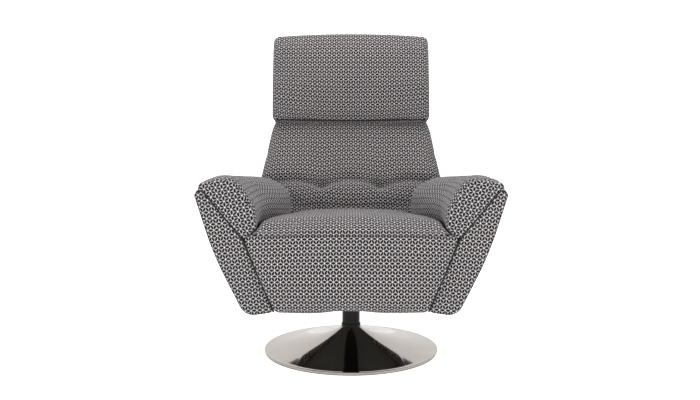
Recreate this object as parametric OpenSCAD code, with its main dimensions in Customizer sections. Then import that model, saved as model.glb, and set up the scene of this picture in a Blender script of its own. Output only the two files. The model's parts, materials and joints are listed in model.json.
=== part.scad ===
// Swivel recliner on a round trumpet base, with flared arms, a tilting headrest and a footrest flap
// that two push bars lift as the back goes down. The origin is on the floor, on the swivel axis.
// X runs to the sitter's left, Y to the back and Z up. Left and right in the names are as seen
// from the front, so the right-hand pieces lie at +X.

/* [Base] */
// Diameter of the round floor plate
base_d = 550; // [460:10:640]
// Height of the plate's upright rim
rim_h = 9; // [7:0.5:14]
// Rise of the plate from its rim to its neck, without the flare
disc_rise = 30; // [20:1:36]
// Height of the flare round the neck
flare_h = 38; // [28:1:54]
// Distance over which the flare dies away
flare_run = 20; // [14:1:28]
// Wall of the spun plate
cover_wall = 2; // [1.5:0.1:3]
// Outer diameter of the column
column_d = 56; // [50:1:66]
// Wall of the column
column_wall = 3; // [2:0.5:4]
// Diameter of the spindle that turns in the column
spindle_d = 36; // [30:1:40]

/* [Seat frame] */
// Height of the top of the seat rails, which everything above is set out from
deck_h = 302; // [262:2:352]
// Height of a seat rail
rail_h = 40; // [30:1:44]
// Width of a seat rail
rail_w = 20; // [15:1:24]
// Distance from the centre to the outer face of a rail
rail_out = 200; // [180:1:202]
// Thickness of the mechanism's steel plates
plate_t = 5; // [3:0.5:5]
// Thickness of the swivel plate
swivel_plate_t = 6; // [4:0.5:8]

/* [Arms] */
// Distance from the centre to the outer top corner of an arm
arm_out_x = 431; // [420:1:455]
// Height of that corner above the rails, at the front
arm_rise = 236; // [220:1:256]
// How much lower the arms are at their back
arm_fall = 12; // [0:1:16]
// Distance from the centre to the outer foot of an arm panel
foot_out_x = 294; // [284:1:310]
// How far an arm's outer side bows out from a straight line
arm_bow = 16; // [4:1:22]
// Distance from the centre to the inner foot of an arm panel
foot_in_x = 211; // [208:1:225]
// Depth of the foot of an arm panel under the top of the rails
foot_drop = 102; // [94:1:112]
// Distance from the centre to the inner edge of the arm panel's bevel
kink_x = 295; // [288:1:305]
// Height of that edge above the rails, where seat, flap and arm meet
kink_rise = 103; // [100:1:106]
// Front of the arms, measured from the swivel axis
arm_front_y = -352; // [-362:1:-346]
// Back of the arm panels
arm_back_y = 225; // [215:1:245]
// Height of the top of an arm pad above the rails, at its front
pad_rise = 272; // [258:1:288]

/* [Seat] */
// Thickness of the seat cushion behind its front roll, above the seat's core
seat_t = 65; // [54:1:72]
// How much lower the seat cushion is at its back
seat_fall = 19; // [12:1:26]
// Half width of the seat cushion at its front
seat_half_front = 255; // [245:1:262]
// Half width of the seat cushion at its back
seat_half_back = 186; // [180:1:192]

/* [Back] */
// Distance of the back's pivot behind the swivel axis
pivot_y = 150; // [140:1:156]
// Height of the back's pivot above the rails
pivot_rise = 58; // [50:1:64]
// Lean of the back at rest
lean = 30; // [24:1:32]
// Length of the back from its pivot to the centre of its round top
back_len = 345; // [325:1:365]
// Thickness of the back, cushion and cover together
back_t = 125; // [112:1:132]
// Half width of the back at its widest
back_half = 299; // [287:1:303]
// Half width of the back at its top
back_half_top = 272; // [258:1:279]

/* [Headrest] */
// Width of the headrest
head_w = 532; // [500:4:560]
// Height of the headrest's top above the rails
head_rise = 715; // [690:5:735]
// Thickness of the headrest
head_t = 105; // [90:1:115]

/* [Footrest] */
// Thickness of the flap at its thickest
flap_t = 62; // [52:1:66]
// Radius of the flap's round top, about its hinge
flap_nose = 14; // [12:0.5:15]
// Length of the footrest's lever, from its hinge to the push bar's pin
flap_lever = 35; // [33:0.5:38]

/* [Travel] */
// Angle that the back reclines from rest
recline_max = 32; // [24:1:32]
// Angle that the flap opens, with the back fully down
flap_max = 80; // [60:1:80]
// Angle that the headrest tilts forward from rest
head_forward = 5; // [0:1:8]

/* [Hidden] */
$fn = 64;
fine_fn = 128;
overrun = 1;
fit_gap = 0.3;
run_gap = 1;
soft_gap = 3;
bore_gap = 0.05;
fixed_gap = 0.02;
edge_r = 1.5;

steel = "silver";
gloss_black = "#1c1b1b";
dark_iron = "#33322f";
plywood = "burlywood";
cloth = "#7c7878";

// Base, from the floor up
glide_t = 3;
weight_t = 4;
weight_boss_r = 60;
weight_boss_h = 14;
weight_edge_gap = 0.6;
neck_r = column_d / 2 + cover_wall;
base_r = base_d / 2;
column_r = column_d / 2;
column_in_r = column_r - column_wall;
spindle_r = spindle_d / 2;
collar_h = 11;
collar_wall = 2.6;
collar_edge = 1;
bush_h = 32;
flange_t = 4;
washer_t = 3;
bolt_r = 4;
bolt_head_r = 6.5;
bolt_head_h = 5;
base_bolts_n = 6;
base_bolt_ring_r = 44;
profile_steps = 26;

foot_z = deck_h - foot_drop;
kink_z = deck_h + kink_rise;
arm_out_z = deck_h + arm_rise;
pad_top_z = deck_h + pad_rise;
pivot_z = deck_h + pivot_rise;
head_top_z = deck_h + head_rise;
plate_low_z = deck_h - rail_h - swivel_plate_t;
column_top = plate_low_z - fit_gap - washer_t - flange_t;
neck_z = rim_h + disc_rise + flare_h;

// Seat frame
swivel_plate_y = 240;
rail_front_y = -296;
rail_back_y = 168;
tube_h = 26;
tube_w = 30;
tube_wall = 2;
front_tube_y = -235;
back_tube_y = 145;
web_t = 3;
web_w = 46;
web_n = 6;
board_t = 13;
underside_t = 3;
column_hole_gap = 8;
core_half = rail_out - rail_w / 2;
core_front_y = rail_front_y + board_t;
wing_rise = 93;
wing_z = deck_h + wing_rise;
bracket_t = plate_t;
bracket_x = rail_out;
arm_plate_x = bracket_x + bracket_t + run_gap;
bar_x = arm_plate_x + plate_t + run_gap;
pin_r = 6;
link_pin_r = 5;
eye_wall = 9;
link_eye_wall = 6;
head_over = 3;
pin_head_t = 2;

// Back: local y runs to the rear, square to the back, and local z up along it from the pivot
board_front_t = 12;
board_back_t = 4;
cover_gap = 0.5;
layer_gap = 0.5;
back_rear_t = 30;
back_front_t = back_t - back_rear_t;
back_low = 20;
board_low = 45;
cover_low = 20;
back_widest = 165;
back_half_low = 255;
back_side_r = 30;
back_mid_t = (back_rear_t - back_front_t) / 2;
back_top_r = back_rear_t - back_mid_t;
clear_r = 100;
seat_arc_gap = 3.5;
board_half = arm_plate_x - fit_gap;
board_pocket_half = arm_plate_x + plate_t + layer_gap;
board_over = 35;
back_board_top = back_len + board_over;
back_arm_len = 205;

// Headrest, about the centre of the back's round top
head_gap = 1.5;
head_axis = [
    pivot_y + back_len * sin(lean) + back_mid_t * cos(lean),
    pivot_z + back_len * cos(lean) - back_mid_t * sin(lean)
];
head_bore_r = back_top_r + head_gap;
head_arm_x = 98;
head_arm_t = 4;
head_arm_w = 18;
head_board_t = 12;
head_board_half = 170;
head_slot_gap = 1.5;

// Flap and its linkage
flap_y = arm_front_y + flap_nose - 2 * run_gap;
flap_z = kink_z;
flap_rise = 7;
flap_low_z = foot_z + flap_rise;
flap_bulge_rise = 85;
flap_bulge_z = foot_z + flap_bulge_rise;
flap_board_t = 12;
flap_board_foot = 25;
flap_board_h = 93;
flap_board_low = foot_z + flap_board_foot;
flap_board_top = flap_board_low + flap_board_h;
flap_lean_in = 12;
flap_end_r = 12;
flap_edge_r = 9;
flap_back_r = 2;
flap_crown = 8;
flap_notch_wall = 4;
flap_corner_in = 20;
flap_corner_reach = 18;
flap_corner_run = 42;
half_swing = recline_max / 2;
half_flap = flap_max / 2;
back_lever = flap_lever * sin(half_flap) / sin(half_swing);
link_back = [
    pivot_y + back_lever * sin(half_swing),
    pivot_z - back_lever * cos(half_swing)
];
link_front = [
    flap_y + flap_lever * sin(half_flap),
    flap_z - flap_lever * cos(half_flap)
];
slot_side_gap = 0.9;
slot_drop = flap_lever * (1 - cos(half_flap)) - back_lever * (1 - cos(half_swing));
bar_h = 16;

// Arm pads and panels
panel_edge_r = 10;
panel_foot_rise = 5;
panel_foot_drop = 8;
arm_bow_r = 900;
bevel_in = 25;
bevel_rise = 4;
pad_edge_r = 24;
pad_step_y = 66;
pad_back_in = 12;
pad_back_y = arm_back_y - pad_back_in;
pad_step_run = 18;
pad_back_gap = 14;
pad_back_x = back_half + pad_back_gap;
pad_seat_gap = 4;
toe_start = 92;
toe_start_y = arm_front_y + toe_start;
toe_run = 300;
panel_lean = 34;
bracket_strip_t = 4;

// Soft forms
side_steps = 3;
end_steps_n = 4;
face_steps = 18;
seat_edge_r = 14;
seat_crown = 10;
seat_setback = 4;
seat_roll_run = 62;
seat_roll_fall = 36;
seat_roll_y = arm_front_y + seat_roll_run;
seat_fall_run = 360;
seat_feather_t = 9;
seat_lip_z = kink_z + flap_nose + 2 * run_gap;
back_crown = 9;
back_low_r = 10;
cover_edge_r = 12;
tuft_x = 97;
tuft_s = 129;
crease_rise = 19;
tuft_depth = 14;
crease_depth = 8;
tuft_r = 22;
crease_run = 55;
crease_w = 15;
valley_depth = 4;
valley_w = 26;
valley_run = 60;
lumbar_depth = 13;
lumbar_s = 98;
lumbar_run = 42;
lumbar_half = 260;
lumbar_rest_share = 0.7;
front_cap = 130;
front_cap_low = 45;
front_cap_run = 35;
head_crown = 14;
head_smile = 9;
head_fall = 13;
head_lip = 150;
head_lip_turn = 4.5;
head_back_lip = 28;
head_lip_steps = 8;

// Outlines and lofts

function unit(v) = v / norm(v);
function left_of(v) = [-v[1], v[0]];
function pick(list, i) = list[(i + len(list)) % len(list)];
function last(list) = list[len(list) - 1];
function lerp(a, b, share) = a + (b - a) * share;
function clamp01(u) = max(0, min(1, u));
function smooth(u) = clamp01(u) * clamp01(u) * (3 - 2 * clamp01(u));
function bell(u) = exp(-u * u);
function turn_of(a, b) = (b - a + 540) % 360 - 180;
function polar(centre, r, angle) = centre + r * [cos(angle), sin(angle)];

// An outline moved inward by d, its corners running counter-clockwise
function inset(outline, d) = [
    for (i = [0 : len(outline) - 1])
        let (
            p = outline[i],
            before = left_of(unit(p - pick(outline, i - 1))),
            after = left_of(unit(pick(outline, i + 1) - p))
        )
        p + (before + after) * d / (1 + before * after)
];

// An outline drawn in towards its centre by d on each half size
function drawn_in(outline, centre, half, d) = [
    for (p = outline)
        [
            centre[0] + (p[0] - centre[0]) * (1 - d / half[0]),
            centre[1] + (p[1] - centre[1]) * (1 - d / half[1])
        ]
];

function middle_of(outline) = [
    (min([for (p = outline) p[0]]) + max([for (p = outline) p[0]])) / 2,
    (min([for (p = outline) p[1]]) + max([for (p = outline) p[1]])) / 2
];

function corner(p, before, after, r, steps) =
    let (
        u = unit(before - p),
        v = unit(after - p),
        half = acos(max(-1, min(1, u * v))) / 2,
        reach = min(r / tan(half), norm(before - p) * 0.48, norm(after - p) * 0.48),
        radius = reach * tan(half),
        centre = p + unit(u + v) * radius / sin(half),
        from = p + u * reach - centre,
        to = p + v * reach - centre,
        start = atan2(from[1], from[0]),
        turn = turn_of(start, atan2(to[1], to[0]))
    )
    [for (k = [0 : steps]) polar(centre, radius, start + turn * k / steps)];

// A ring of points round an outline, its corners rounded, with cuts[i] steps on the edge after corner i
function ring(outline, radii, cuts, steps = side_steps) =
    let (
        corners = [
            for (i = [0 : len(outline) - 1])
                corner(outline[i], pick(outline, i - 1), pick(outline, i + 1), radii[i], steps)
        ]
    )
    [
        for (i = [0 : len(outline) - 1])
            each concat(
                corners[i],
                [
                    for (k = [1 : 1 : cuts[i] - 1])
                        lerp(last(corners[i]), pick(corners, i + 1)[0], k / cuts[i])
                ]
            )
    ];

// A closed solid through rings of 3-D points, each counter-clockwise seen from the last ring's side
module loft(rings) {
    n = len(rings[0]);
    m = len(rings);
    polyhedron(
        points = [for (r = rings) each r],
        faces = concat(
            [[for (k = [0 : n - 1]) k]],
            [
                for (i = [0 : m - 2], k = [0 : n - 1])
                    each
                        let (
                            a = i * n + k,
                            b = i * n + (k + 1) % n
                        )
                        [[a, a + n, b + n], [a, b + n, b]]
            ],
            [[for (k = [n - 1 : -1 : 0]) (m - 1) * n + k]]
        )
    );
}

function ring_at_x(points, x) = [for (p = points) [x, p[0], p[1]]];
function ring_at_y(points, y) = [for (p = points) [p[0], y, p[1]]];
function ring_at_z(points, z) = [for (p = points) [p[0], p[1], z]];

// Steps round an end of radius r: how far from the end, and how far the outline is drawn in there
function end_steps(r) = [
    for (j = [0 : end_steps_n])
        [r * (1 - cos(90 * j / end_steps_n)), r * (1 - sin(90 * j / end_steps_n))]
];

// Plates and pins across the chair

module plate_x(x, t) {
    translate([x, 0, 0]) rotate([90, 0, 90]) linear_extrude(t) children();
}

module pin_x(x, length, p, r) {
    translate([x, p[0], p[1]]) rotate([0, 90, 0]) cylinder(h = length, r = r);
}

module strap(p, q, r) {
    n = left_of(unit(q - p)) * r;
    polygon([p - n, q - n, q + n, p + n]);
    translate(p) circle(r);
    translate(q) circle(r);
}

module mirrored() {
    mirror([1, 0, 0]) children();
}

// Base

function cover_z(r) =
    rim_h + disc_rise * (base_r - r) / (base_r - neck_r)
    + flare_h * (exp(-(r - neck_r) / flare_run) - exp(-(base_r - neck_r) / flare_run));

cover_radii = [
    for (k = [0 : profile_steps])
        neck_r + (base_r - neck_r) * pow(k / profile_steps, 2)
];

module base_floor_pad() {
    color("#1a1a1a")
    cylinder(h = glide_t, r = base_r - cover_wall - weight_edge_gap, $fn = fine_fn);
}

module base_weight() {
    weight_r = base_r - cover_wall - weight_edge_gap;
    color(dark_iron)
    difference() {
        union() {
            translate([0, 0, glide_t]) cylinder(h = weight_t, r = weight_r - fit_gap, $fn = fine_fn);
            translate([0, 0, glide_t]) cylinder(h = weight_boss_h, r = weight_boss_r);
        }
        for (i = [0 : base_bolts_n - 1])
            rotate(360 * i / base_bolts_n)
                translate([base_bolt_ring_r, 0, glide_t - overrun])
                    cylinder(h = weight_boss_h + 2 * overrun, r = bolt_r + fit_gap / 2);
    }
}

module base_cover() {
    color(steel)
    rotate_extrude($fn = fine_fn)
        polygon(concat(
            [for (r = cover_radii) [r, cover_z(r)]],
            [
                [base_r, glide_t / 2],
                [base_r - cover_wall, glide_t / 2],
                [base_r - cover_wall, cover_z(base_r) - cover_wall]
            ],
            [
                for (k = [profile_steps - 1 : -1 : 0])
                    if (cover_radii[k] < base_r - 2 * cover_wall)
                        [
                            max(cover_radii[k], column_r + fit_gap),
                            cover_z(cover_radii[k] + cover_wall * (1 - k / profile_steps)) - cover_wall
                        ]
            ],
            [[column_r + fit_gap, neck_z]]
        ));
}

module base_bolts() {
    color(steel)
    for (i = [0 : base_bolts_n - 1])
        rotate(360 * i / base_bolts_n)
            translate([base_bolt_ring_r, 0, 0])
                union() {
                    translate([0, 0, glide_t + weight_boss_h + flange_t - 2 * bolt_head_h])
                        cylinder(h = 2 * bolt_head_h, r = bolt_r);
                    translate([0, 0, glide_t + weight_boss_h + flange_t])
                        cylinder(h = bolt_head_h, r = bolt_head_r, $fn = 6);
                }
}

module column_tube() {
    foot_z0 = glide_t + weight_boss_h;
    color(gloss_black)
    difference() {
        union() {
            translate([0, 0, foot_z0]) cylinder(h = column_top - foot_z0, r = column_r);
            translate([0, 0, foot_z0]) cylinder(h = flange_t, r = weight_boss_r);
        }
        translate([0, 0, foot_z0 - overrun])
            cylinder(h = column_top - foot_z0 + 2 * overrun, r = column_in_r);
        for (i = [0 : base_bolts_n - 1])
            rotate(360 * i / base_bolts_n)
                translate([base_bolt_ring_r, 0, foot_z0 - overrun])
                    cylinder(h = flange_t + 2 * overrun, r = bolt_r + fit_gap / 2);
    }
}

module column_collar() {
    color(gloss_black)
    translate([0, 0, neck_z + fit_gap])
        rotate_extrude()
            polygon([
                [column_r + fixed_gap, 0],
                [column_r + collar_wall - collar_edge, 0],
                [column_r + collar_wall, collar_edge],
                [column_r + collar_wall, collar_h - collar_edge],
                [column_r + collar_wall - collar_edge, collar_h],
                [column_r + fixed_gap, collar_h]
            ]);
}

module swivel_bush(z) {
    color("ivory")
    translate([0, 0, z])
        difference() {
            children();
            translate([0, 0, -overrun])
                cylinder(h = bush_h + flange_t + 2 * overrun, r = spindle_r + bore_gap);
        }
}

module lower_swivel_bush() {
    swivel_bush(neck_z) cylinder(h = bush_h, r = column_in_r - fixed_gap);
}

module upper_swivel_bush() {
    swivel_bush(column_top - bush_h)
        union() {
            cylinder(h = bush_h, r = column_in_r - fixed_gap);
            translate([0, 0, bush_h]) cylinder(h = flange_t, r = column_r);
        }
}

module thrust_washer() {
    color(steel)
    translate([0, 0, column_top + flange_t])
        difference() {
            cylinder(h = washer_t, r = column_r - edge_r);
            translate([0, 0, -overrun])
                cylinder(h = washer_t + 2 * overrun, r = spindle_r + fit_gap);
        }
}

// Seat frame

module swivel_spindle() {
    low_z = neck_z - bush_h / 4;
    color(steel)
    translate([0, 0, low_z]) cylinder(h = plate_low_z - low_z, r = spindle_r);
}

plate_bolt_x = rail_out - rail_w / 2;
plate_bolt_y = swivel_plate_y / 2 - rail_w;

module swivel_plate() {
    window_r = rail_w * 1.6;
    color(steel)
    difference() {
        translate([-rail_out, -swivel_plate_y / 2, plate_low_z])
            cube([2 * rail_out, swivel_plate_y, swivel_plate_t]);
        for (sx = [-1, 1], sy = [-1, 1])
            translate([sx * plate_bolt_x, sy * plate_bolt_y, plate_low_z - overrun])
                cylinder(h = swivel_plate_t + 2 * overrun, r = bolt_r + fit_gap / 2);
        for (sx = [-1, 1])
            translate([sx * rail_out / 2, 0, plate_low_z - overrun])
                cylinder(h = swivel_plate_t + 2 * overrun, r = window_r);
    }
}

module swivel_plate_bolts() {
    color(steel)
    for (sx = [-1, 1], sy = [-1, 1])
        translate([sx * plate_bolt_x, sy * plate_bolt_y, plate_low_z])
            union() {
                cylinder(h = swivel_plate_t, r = bolt_r);
                translate([0, 0, -bolt_head_h]) cylinder(h = bolt_head_h, r = bolt_head_r, $fn = 6);
            }
}

module hollow_bar(size, wall, axis) {
    along = [for (i = [0 : 2]) i == axis ? 1 : 0];
    difference() {
        cube(size);
        translate([for (i = [0 : 2]) along[i] ? -overrun : wall])
            cube([for (i = [0 : 2]) along[i] ? size[i] + 2 * overrun : size[i] - 2 * wall]);
    }
}

module seat_rail() {
    color(steel)
    translate([rail_out - rail_w, rail_front_y, deck_h - rail_h])
        hollow_bar([rail_w, rail_back_y - rail_front_y, rail_h], tube_wall, 1);
}

module right_seat_rail() { seat_rail(); }
module left_seat_rail() { mirrored() seat_rail(); }

panel_foot_z = foot_z + panel_foot_rise;
function panel_in_x(z) = lerp(foot_in_x, kink_x, (z - panel_foot_z) / (kink_z - panel_foot_z));

tube_low_z = deck_h - rail_h - tube_h;
tube_half = panel_in_x(tube_low_z) - bracket_strip_t * 1.4;

module cross_tube(y) {
    color(steel)
    translate([-tube_half, y - tube_w / 2, tube_low_z])
        hollow_bar([2 * tube_half, tube_w, tube_h], tube_wall, 0);
}

module front_cross_tube() { cross_tube(front_tube_y); }
module rear_cross_tube() { cross_tube(back_tube_y); }

bracket_strip_low = tube_low_z;
bracket_strip_high = tube_low_z + tube_h * 2;

module arm_brackets() {
    inner = [panel_in_x(bracket_strip_low), bracket_strip_low];
    outer = [panel_in_x(bracket_strip_high), bracket_strip_high];
    n = left_of(unit(outer - inner));
    color(steel)
    for (y = [front_tube_y, back_tube_y])
        translate([0, y + tube_w / 2, 0])
            rotate([90, 0, 0])
                linear_extrude(tube_w)
                    polygon([
                        inner + n * fit_gap,
                        outer + n * fit_gap,
                        outer + n * (fit_gap + bracket_strip_t),
                        inner + n * (fit_gap + bracket_strip_t)
                    ]);
}

module right_arm_brackets() { arm_brackets(); }
module left_arm_brackets() { mirrored() arm_brackets(); }

module arm_screws_one_side() {
    inner = [panel_in_x(bracket_strip_low), bracket_strip_low];
    outer = [panel_in_x(bracket_strip_high), bracket_strip_high];
    n = left_of(unit(outer - inner));
    slope = atan2(n[1], n[0]);
    for (y = [front_tube_y, back_tube_y])
        let (p = lerp(inner, outer, 0.75) + n * (fit_gap + bracket_strip_t))
            translate([p[0], y, p[1]])
                rotate([0, 90 - slope, 0])
                    cylinder(h = bolt_head_h, r = bolt_head_r, $fn = 6);
}

module arm_screws() {
    color(steel)
    union() {
        arm_screws_one_side();
        mirrored() arm_screws_one_side();
    }
}

module front_board() {
    half = rail_out - rail_w - fit_gap;
    color(plywood)
    translate([-half, rail_front_y, deck_h - rail_h])
        cube([2 * half, board_t - fit_gap, seat_lip_z - fit_gap - deck_h + rail_h]);
}

module seat_webbing() {
    length = rail_back_y - core_front_y - 2 * fit_gap;
    pitch = 2 * (rail_out - rail_w) / web_n;
    color("#2b2b2b")
    union() {
        for (i = [0 : web_n - 1])
            translate([
                -rail_out + rail_w + pitch * (i + 0.5) - web_w / 2,
                core_front_y + fit_gap,
                deck_h
            ])
                cube([web_w, length, web_t]);
        for (y = [core_front_y + fit_gap, rail_back_y - web_w - fit_gap])
            translate([-rail_out, y, deck_h]) cube([2 * rail_out, web_w, web_t]);
    }
}

seat_arc_r = clear_r + seat_arc_gap;

module seat_core() {
    low_z = deck_h + web_t + fit_gap;
    reach = [for (a = [180 : -15 : 165]) polar([pivot_y, pivot_z], seat_arc_r / cos(7.5), a)];
    top_y = pivot_y - sqrt(pow(seat_arc_r, 2) - pow(wing_z - pivot_z, 2)) - fit_gap;
    color("#d8cfa8")
    translate([-core_half + fit_gap, 0, 0])
        rotate([90, 0, 90])
            linear_extrude(2 * (core_half - fit_gap))
                polygon(concat(
                    [
                        [core_front_y + fit_gap, low_z],
                        [pivot_y - seat_arc_r / cos(7.5), low_z]
                    ],
                    reach,
                    [
                        [top_y, wing_z - fit_gap],
                        [core_front_y + fit_gap, wing_z - fit_gap]
                    ]
                ));
}

function seat_share(y) = smooth((y - toe_start_y) / toe_run);
function seat_half(y) = lerp(seat_half_front, seat_half_back, seat_share(y));
function seat_back_y() = pivot_y - seat_arc_r * cos(38);
function seat_top(y) =
    wing_z + seat_t
    - seat_fall * pow(clamp01((y - seat_roll_y) / seat_fall_run), 1.2)
    - seat_roll_fall * (1 - sqrt(1 - pow(clamp01((seat_roll_y - y) / seat_roll_run), 2)));
function seat_bottom(y) =
    y < core_front_y ? seat_lip_z
    : max(
        wing_z,
        y > pivot_y - seat_arc_r
            ? pivot_z + sqrt(pow(seat_arc_r, 2) - pow(pivot_y - y, 2))
            : 0
    );

seat_front_y = arm_front_y + seat_setback;
seat_lip_steps = [0, 3, 9, 20, 38, 60];
seat_body_shares = [0.01, 0.2, 0.4, 0.6, 0.78, 0.87, 0.93, 0.97, 1];

module seat_cushion() {
    stations = concat(
        [for (d = seat_lip_steps) seat_front_y + d],
        [core_front_y - fit_gap],
        [for (s = seat_body_shares) lerp(core_front_y, seat_back_y(), s)]
    );
    color(cloth)
    loft([
        for (i = [len(stations) - 1 : -1 : 0])
            let (
                y = stations[i],
                half = seat_half(y),
                low = seat_bottom(y),
                high = max(seat_top(y), low + seat_feather_t),
                r = min(seat_edge_r, (high - low) * 0.42)
            )
            ring_at_y(
                [
                    for (p = ring(
                        [[-half, low], [half, low], [half, high], [-half, high]],
                        [r / 3, r / 3, r, r],
                        [1, 1, face_steps / 2, 1]
                    ))
                        [
                            p[0],
                            p[1] + (p[1] - low) / (high - low)
                                * (seat_crown * (1 - pow(p[0] / half, 2)) - seat_crown)
                        ]
                ],
                y
            )
    ]);
}

underside_z = tube_low_z - underside_t - fit_gap;

module underside_cover() {
    half = panel_in_x(underside_z) - fit_gap;
    color("#191919")
    difference() {
        translate([-half, rail_front_y, underside_z])
            cube([2 * half, rail_back_y - rail_front_y, underside_t]);
        translate([0, 0, underside_z - overrun])
            cylinder(h = underside_t + 2 * overrun, r = column_r + column_hole_gap);
    }
}

rear_panel_t = 12;
rear_panel_in = 1;
rear_panel_y = arm_back_y - rear_panel_t - rear_panel_in;
rear_panel_top = pivot_z - rail_w;
rear_panel_low = foot_z + 0.4 * rear_panel_t;

module rear_panel() {
    low = rear_panel_low;
    color(cloth)
    loft([
        for (e = concat(
            [for (s = end_steps(rear_panel_t / 3)) [low + s[0], s[1]]],
            [for (i = [end_steps_n : -1 : 0])
                let (s = end_steps(rear_panel_t / 3)[i]) [rear_panel_top - s[0], s[1]]]
        ))
            let (
                half = panel_in_x(e[0]) - fit_gap - e[1],
                near = rear_panel_y + panel_shift(e[0], 1) + e[1],
                far = rear_panel_y + panel_shift(e[0], 1) + rear_panel_t - e[1]
            )
            ring_at_z(
                ring(
                    [[-half, near], [half, near], [half, far], [-half, far]],
                    [1, 1, 1, 1] * rear_panel_t / 3,
                    [1, 1, 1, 1]
                ),
                e[0]
            )
    ]);
}

// Arms

bevel_top_x = arm_out_x - bevel_in;
bevel_top_z = arm_out_z + bevel_rise;
panel_low_z = foot_z - panel_foot_drop;
panel_outline = [
    [foot_in_x, panel_foot_z],
    [foot_out_x, panel_low_z],
    [(foot_out_x + arm_out_x) / 2 + arm_bow, (panel_low_z + arm_out_z) / 2],
    [arm_out_x, arm_out_z],
    [bevel_top_x, bevel_top_z],
    [kink_x, kink_z]
];
panel_radii = [10, 38, arm_bow_r, 18, 10, 4];

function panel_shift(z, share) = panel_lean * share * (z - arm_out_z) / (arm_out_z - foot_z);
function arm_share(y) = clamp01((y - arm_front_y) / (arm_back_y - arm_front_y));

// A point of an arm's outline, lowered towards the back above the bevel's inner edge
function arm_point(p, y) = [
    p[0],
    p[1] - arm_fall * pow(arm_share(y), 2) * clamp01((p[1] - kink_z) / (bevel_top_z - kink_z))
];

module arm_panel() {
    front = [for (s = end_steps(panel_edge_r)) [arm_front_y + s[0], s[1]]];
    back = [for (s = end_steps(panel_edge_r)) [arm_back_y - s[0], s[1]]];
    middle = [for (s = [0.2, 0.4, 0.6, 0.78, 0.91]) [lerp(arm_front_y, arm_back_y, s), 0]];
    stations = concat(
        back,
        [for (i = [4 : -1 : 0]) middle[i]],
        [for (i = [end_steps_n : -1 : 0]) front[i]]
    );
    color(cloth)
    loft([
        for (e = stations)
            [
                for (p = ring(inset(panel_outline, e[1]), panel_radii, [1, 1, 1, 1, 4, 1]))
                    let (q = arm_point(p, e[0]))
                        [q[0], e[0] + panel_shift(q[1], pow(arm_share(e[0]), 2)), q[1]]
            ]
    ]);
}

module right_arm_panel() { arm_panel(); }
module left_arm_panel() { mirrored() arm_panel(); }

function on_bevel(x) = [
    x,
    kink_z + (x - kink_x) * (bevel_top_z - kink_z) / (bevel_top_x - kink_x)
];

function pad_x(share) = lerp(kink_x, arm_out_x, share);
function pad_z(share) = lerp(kink_z, pad_top_z, share);

pad_front_outline = [
    on_bevel(kink_x),
    on_bevel(bevel_top_x),
    [pad_x(0.87), pad_z(0.88)],
    [pad_x(0.73), pad_z(0.995)],
    [pad_x(0.25), pad_z(1)],
    [seat_half_front + 2 * pad_seat_gap, pad_z(0.5)],
    [seat_half_front + pad_seat_gap, pad_z(0.18)]
];
pad_inner_outline = [
    on_bevel(kink_x),
    on_bevel(bevel_top_x),
    [pad_x(0.87), pad_z(0.86)],
    [pad_x(0.69), pad_z(0.875)],
    [pad_x(-0.2), pad_z(0.87)],
    [seat_half_back + 3 * pad_seat_gap, pad_z(0.66)],
    [seat_half_back + pad_seat_gap, pad_z(0.1)]
];
pad_back_outline = [
    on_bevel(pad_x(0.15)),
    on_bevel(bevel_top_x),
    [pad_x(0.82), pad_z(0.84)],
    [pad_x(0.69), pad_z(0.83)],
    [pad_x(0.27), pad_z(0.79)],
    [pad_back_x + fit_gap, pad_z(0.57)],
    [pad_back_x, pad_z(0.26)]
];
pad_radii = [8, 6, 10, 40, 46, 38, 16];
pad_draw = [88, 80];

// A pad's outline drawn in by d at its end, along the bevel that it lies on and square to it
function pad_drawn_in(outline, d) =
    let (
        centre = on_bevel((kink_x + bevel_top_x) / 2),
        along = unit(on_bevel(bevel_top_x) - on_bevel(kink_x)),
        square_to = left_of(along)
    )
    [
        for (p = outline)
            centre
            + along * ((p - centre) * along) * (1 - d / pad_draw[0])
            + square_to * ((p - centre) * square_to) * (1 - d / pad_draw[1])
    ];

function blend_outline(a, b, share) = [for (i = [0 : len(a) - 1]) lerp(a[i], b[i], share)];
function pad_outline(y) =
    blend_outline(
        blend_outline(pad_front_outline, pad_inner_outline, seat_share(y)),
        pad_back_outline,
        smooth((y - pad_step_y + pad_step_run / 2) / pad_step_run)
    );

module arm_pad() {
    front = [for (s = end_steps(pad_edge_r)) [arm_front_y + s[0], s[1]]];
    back = [for (s = end_steps(pad_edge_r)) [pad_back_y - s[0], s[1]]];
    body = [
        for (s = [0.2, 0.45, 0.7, 0.88])
            [lerp(arm_front_y + pad_edge_r, pad_step_y - pad_step_run, s), 0]
    ];
    step = [
        for (s = [-0.5, -0.25, 0, 0.25, 0.5])
            [pad_step_y + s * pad_step_run, 0]
    ];
    stations = concat(
        back,
        [for (i = [4 : -1 : 0]) step[i]],
        [for (i = [3 : -1 : 0]) body[i]],
        [for (i = [end_steps_n : -1 : 0]) front[i]]
    );
    color(cloth)
    loft([
        for (e = stations)
            let (outline = pad_outline(e[0]))
                [
                    for (p = ring(
                        pad_drawn_in(inset(outline, fit_gap), e[1]),
                        pad_radii,
                        [3, 1, 1, 2, 3, 2, 1]
                    ))
                        let (q = arm_point(p, e[0]))
                            [q[0], e[0], q[1]]
                ]
    ]);
}

module right_arm_pad() { arm_pad(); }
module left_arm_pad() { mirrored() arm_pad(); }

// Mechanism plates on the seat frame

pivot = [pivot_y, pivot_z];
flap_hinge = [flap_y, flap_z];
pin_eye_r = pin_r + eye_wall;
link_eye_r = link_pin_r + link_eye_wall;
flap_eye_r = flap_nose - flap_notch_wall - run_gap;

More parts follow.
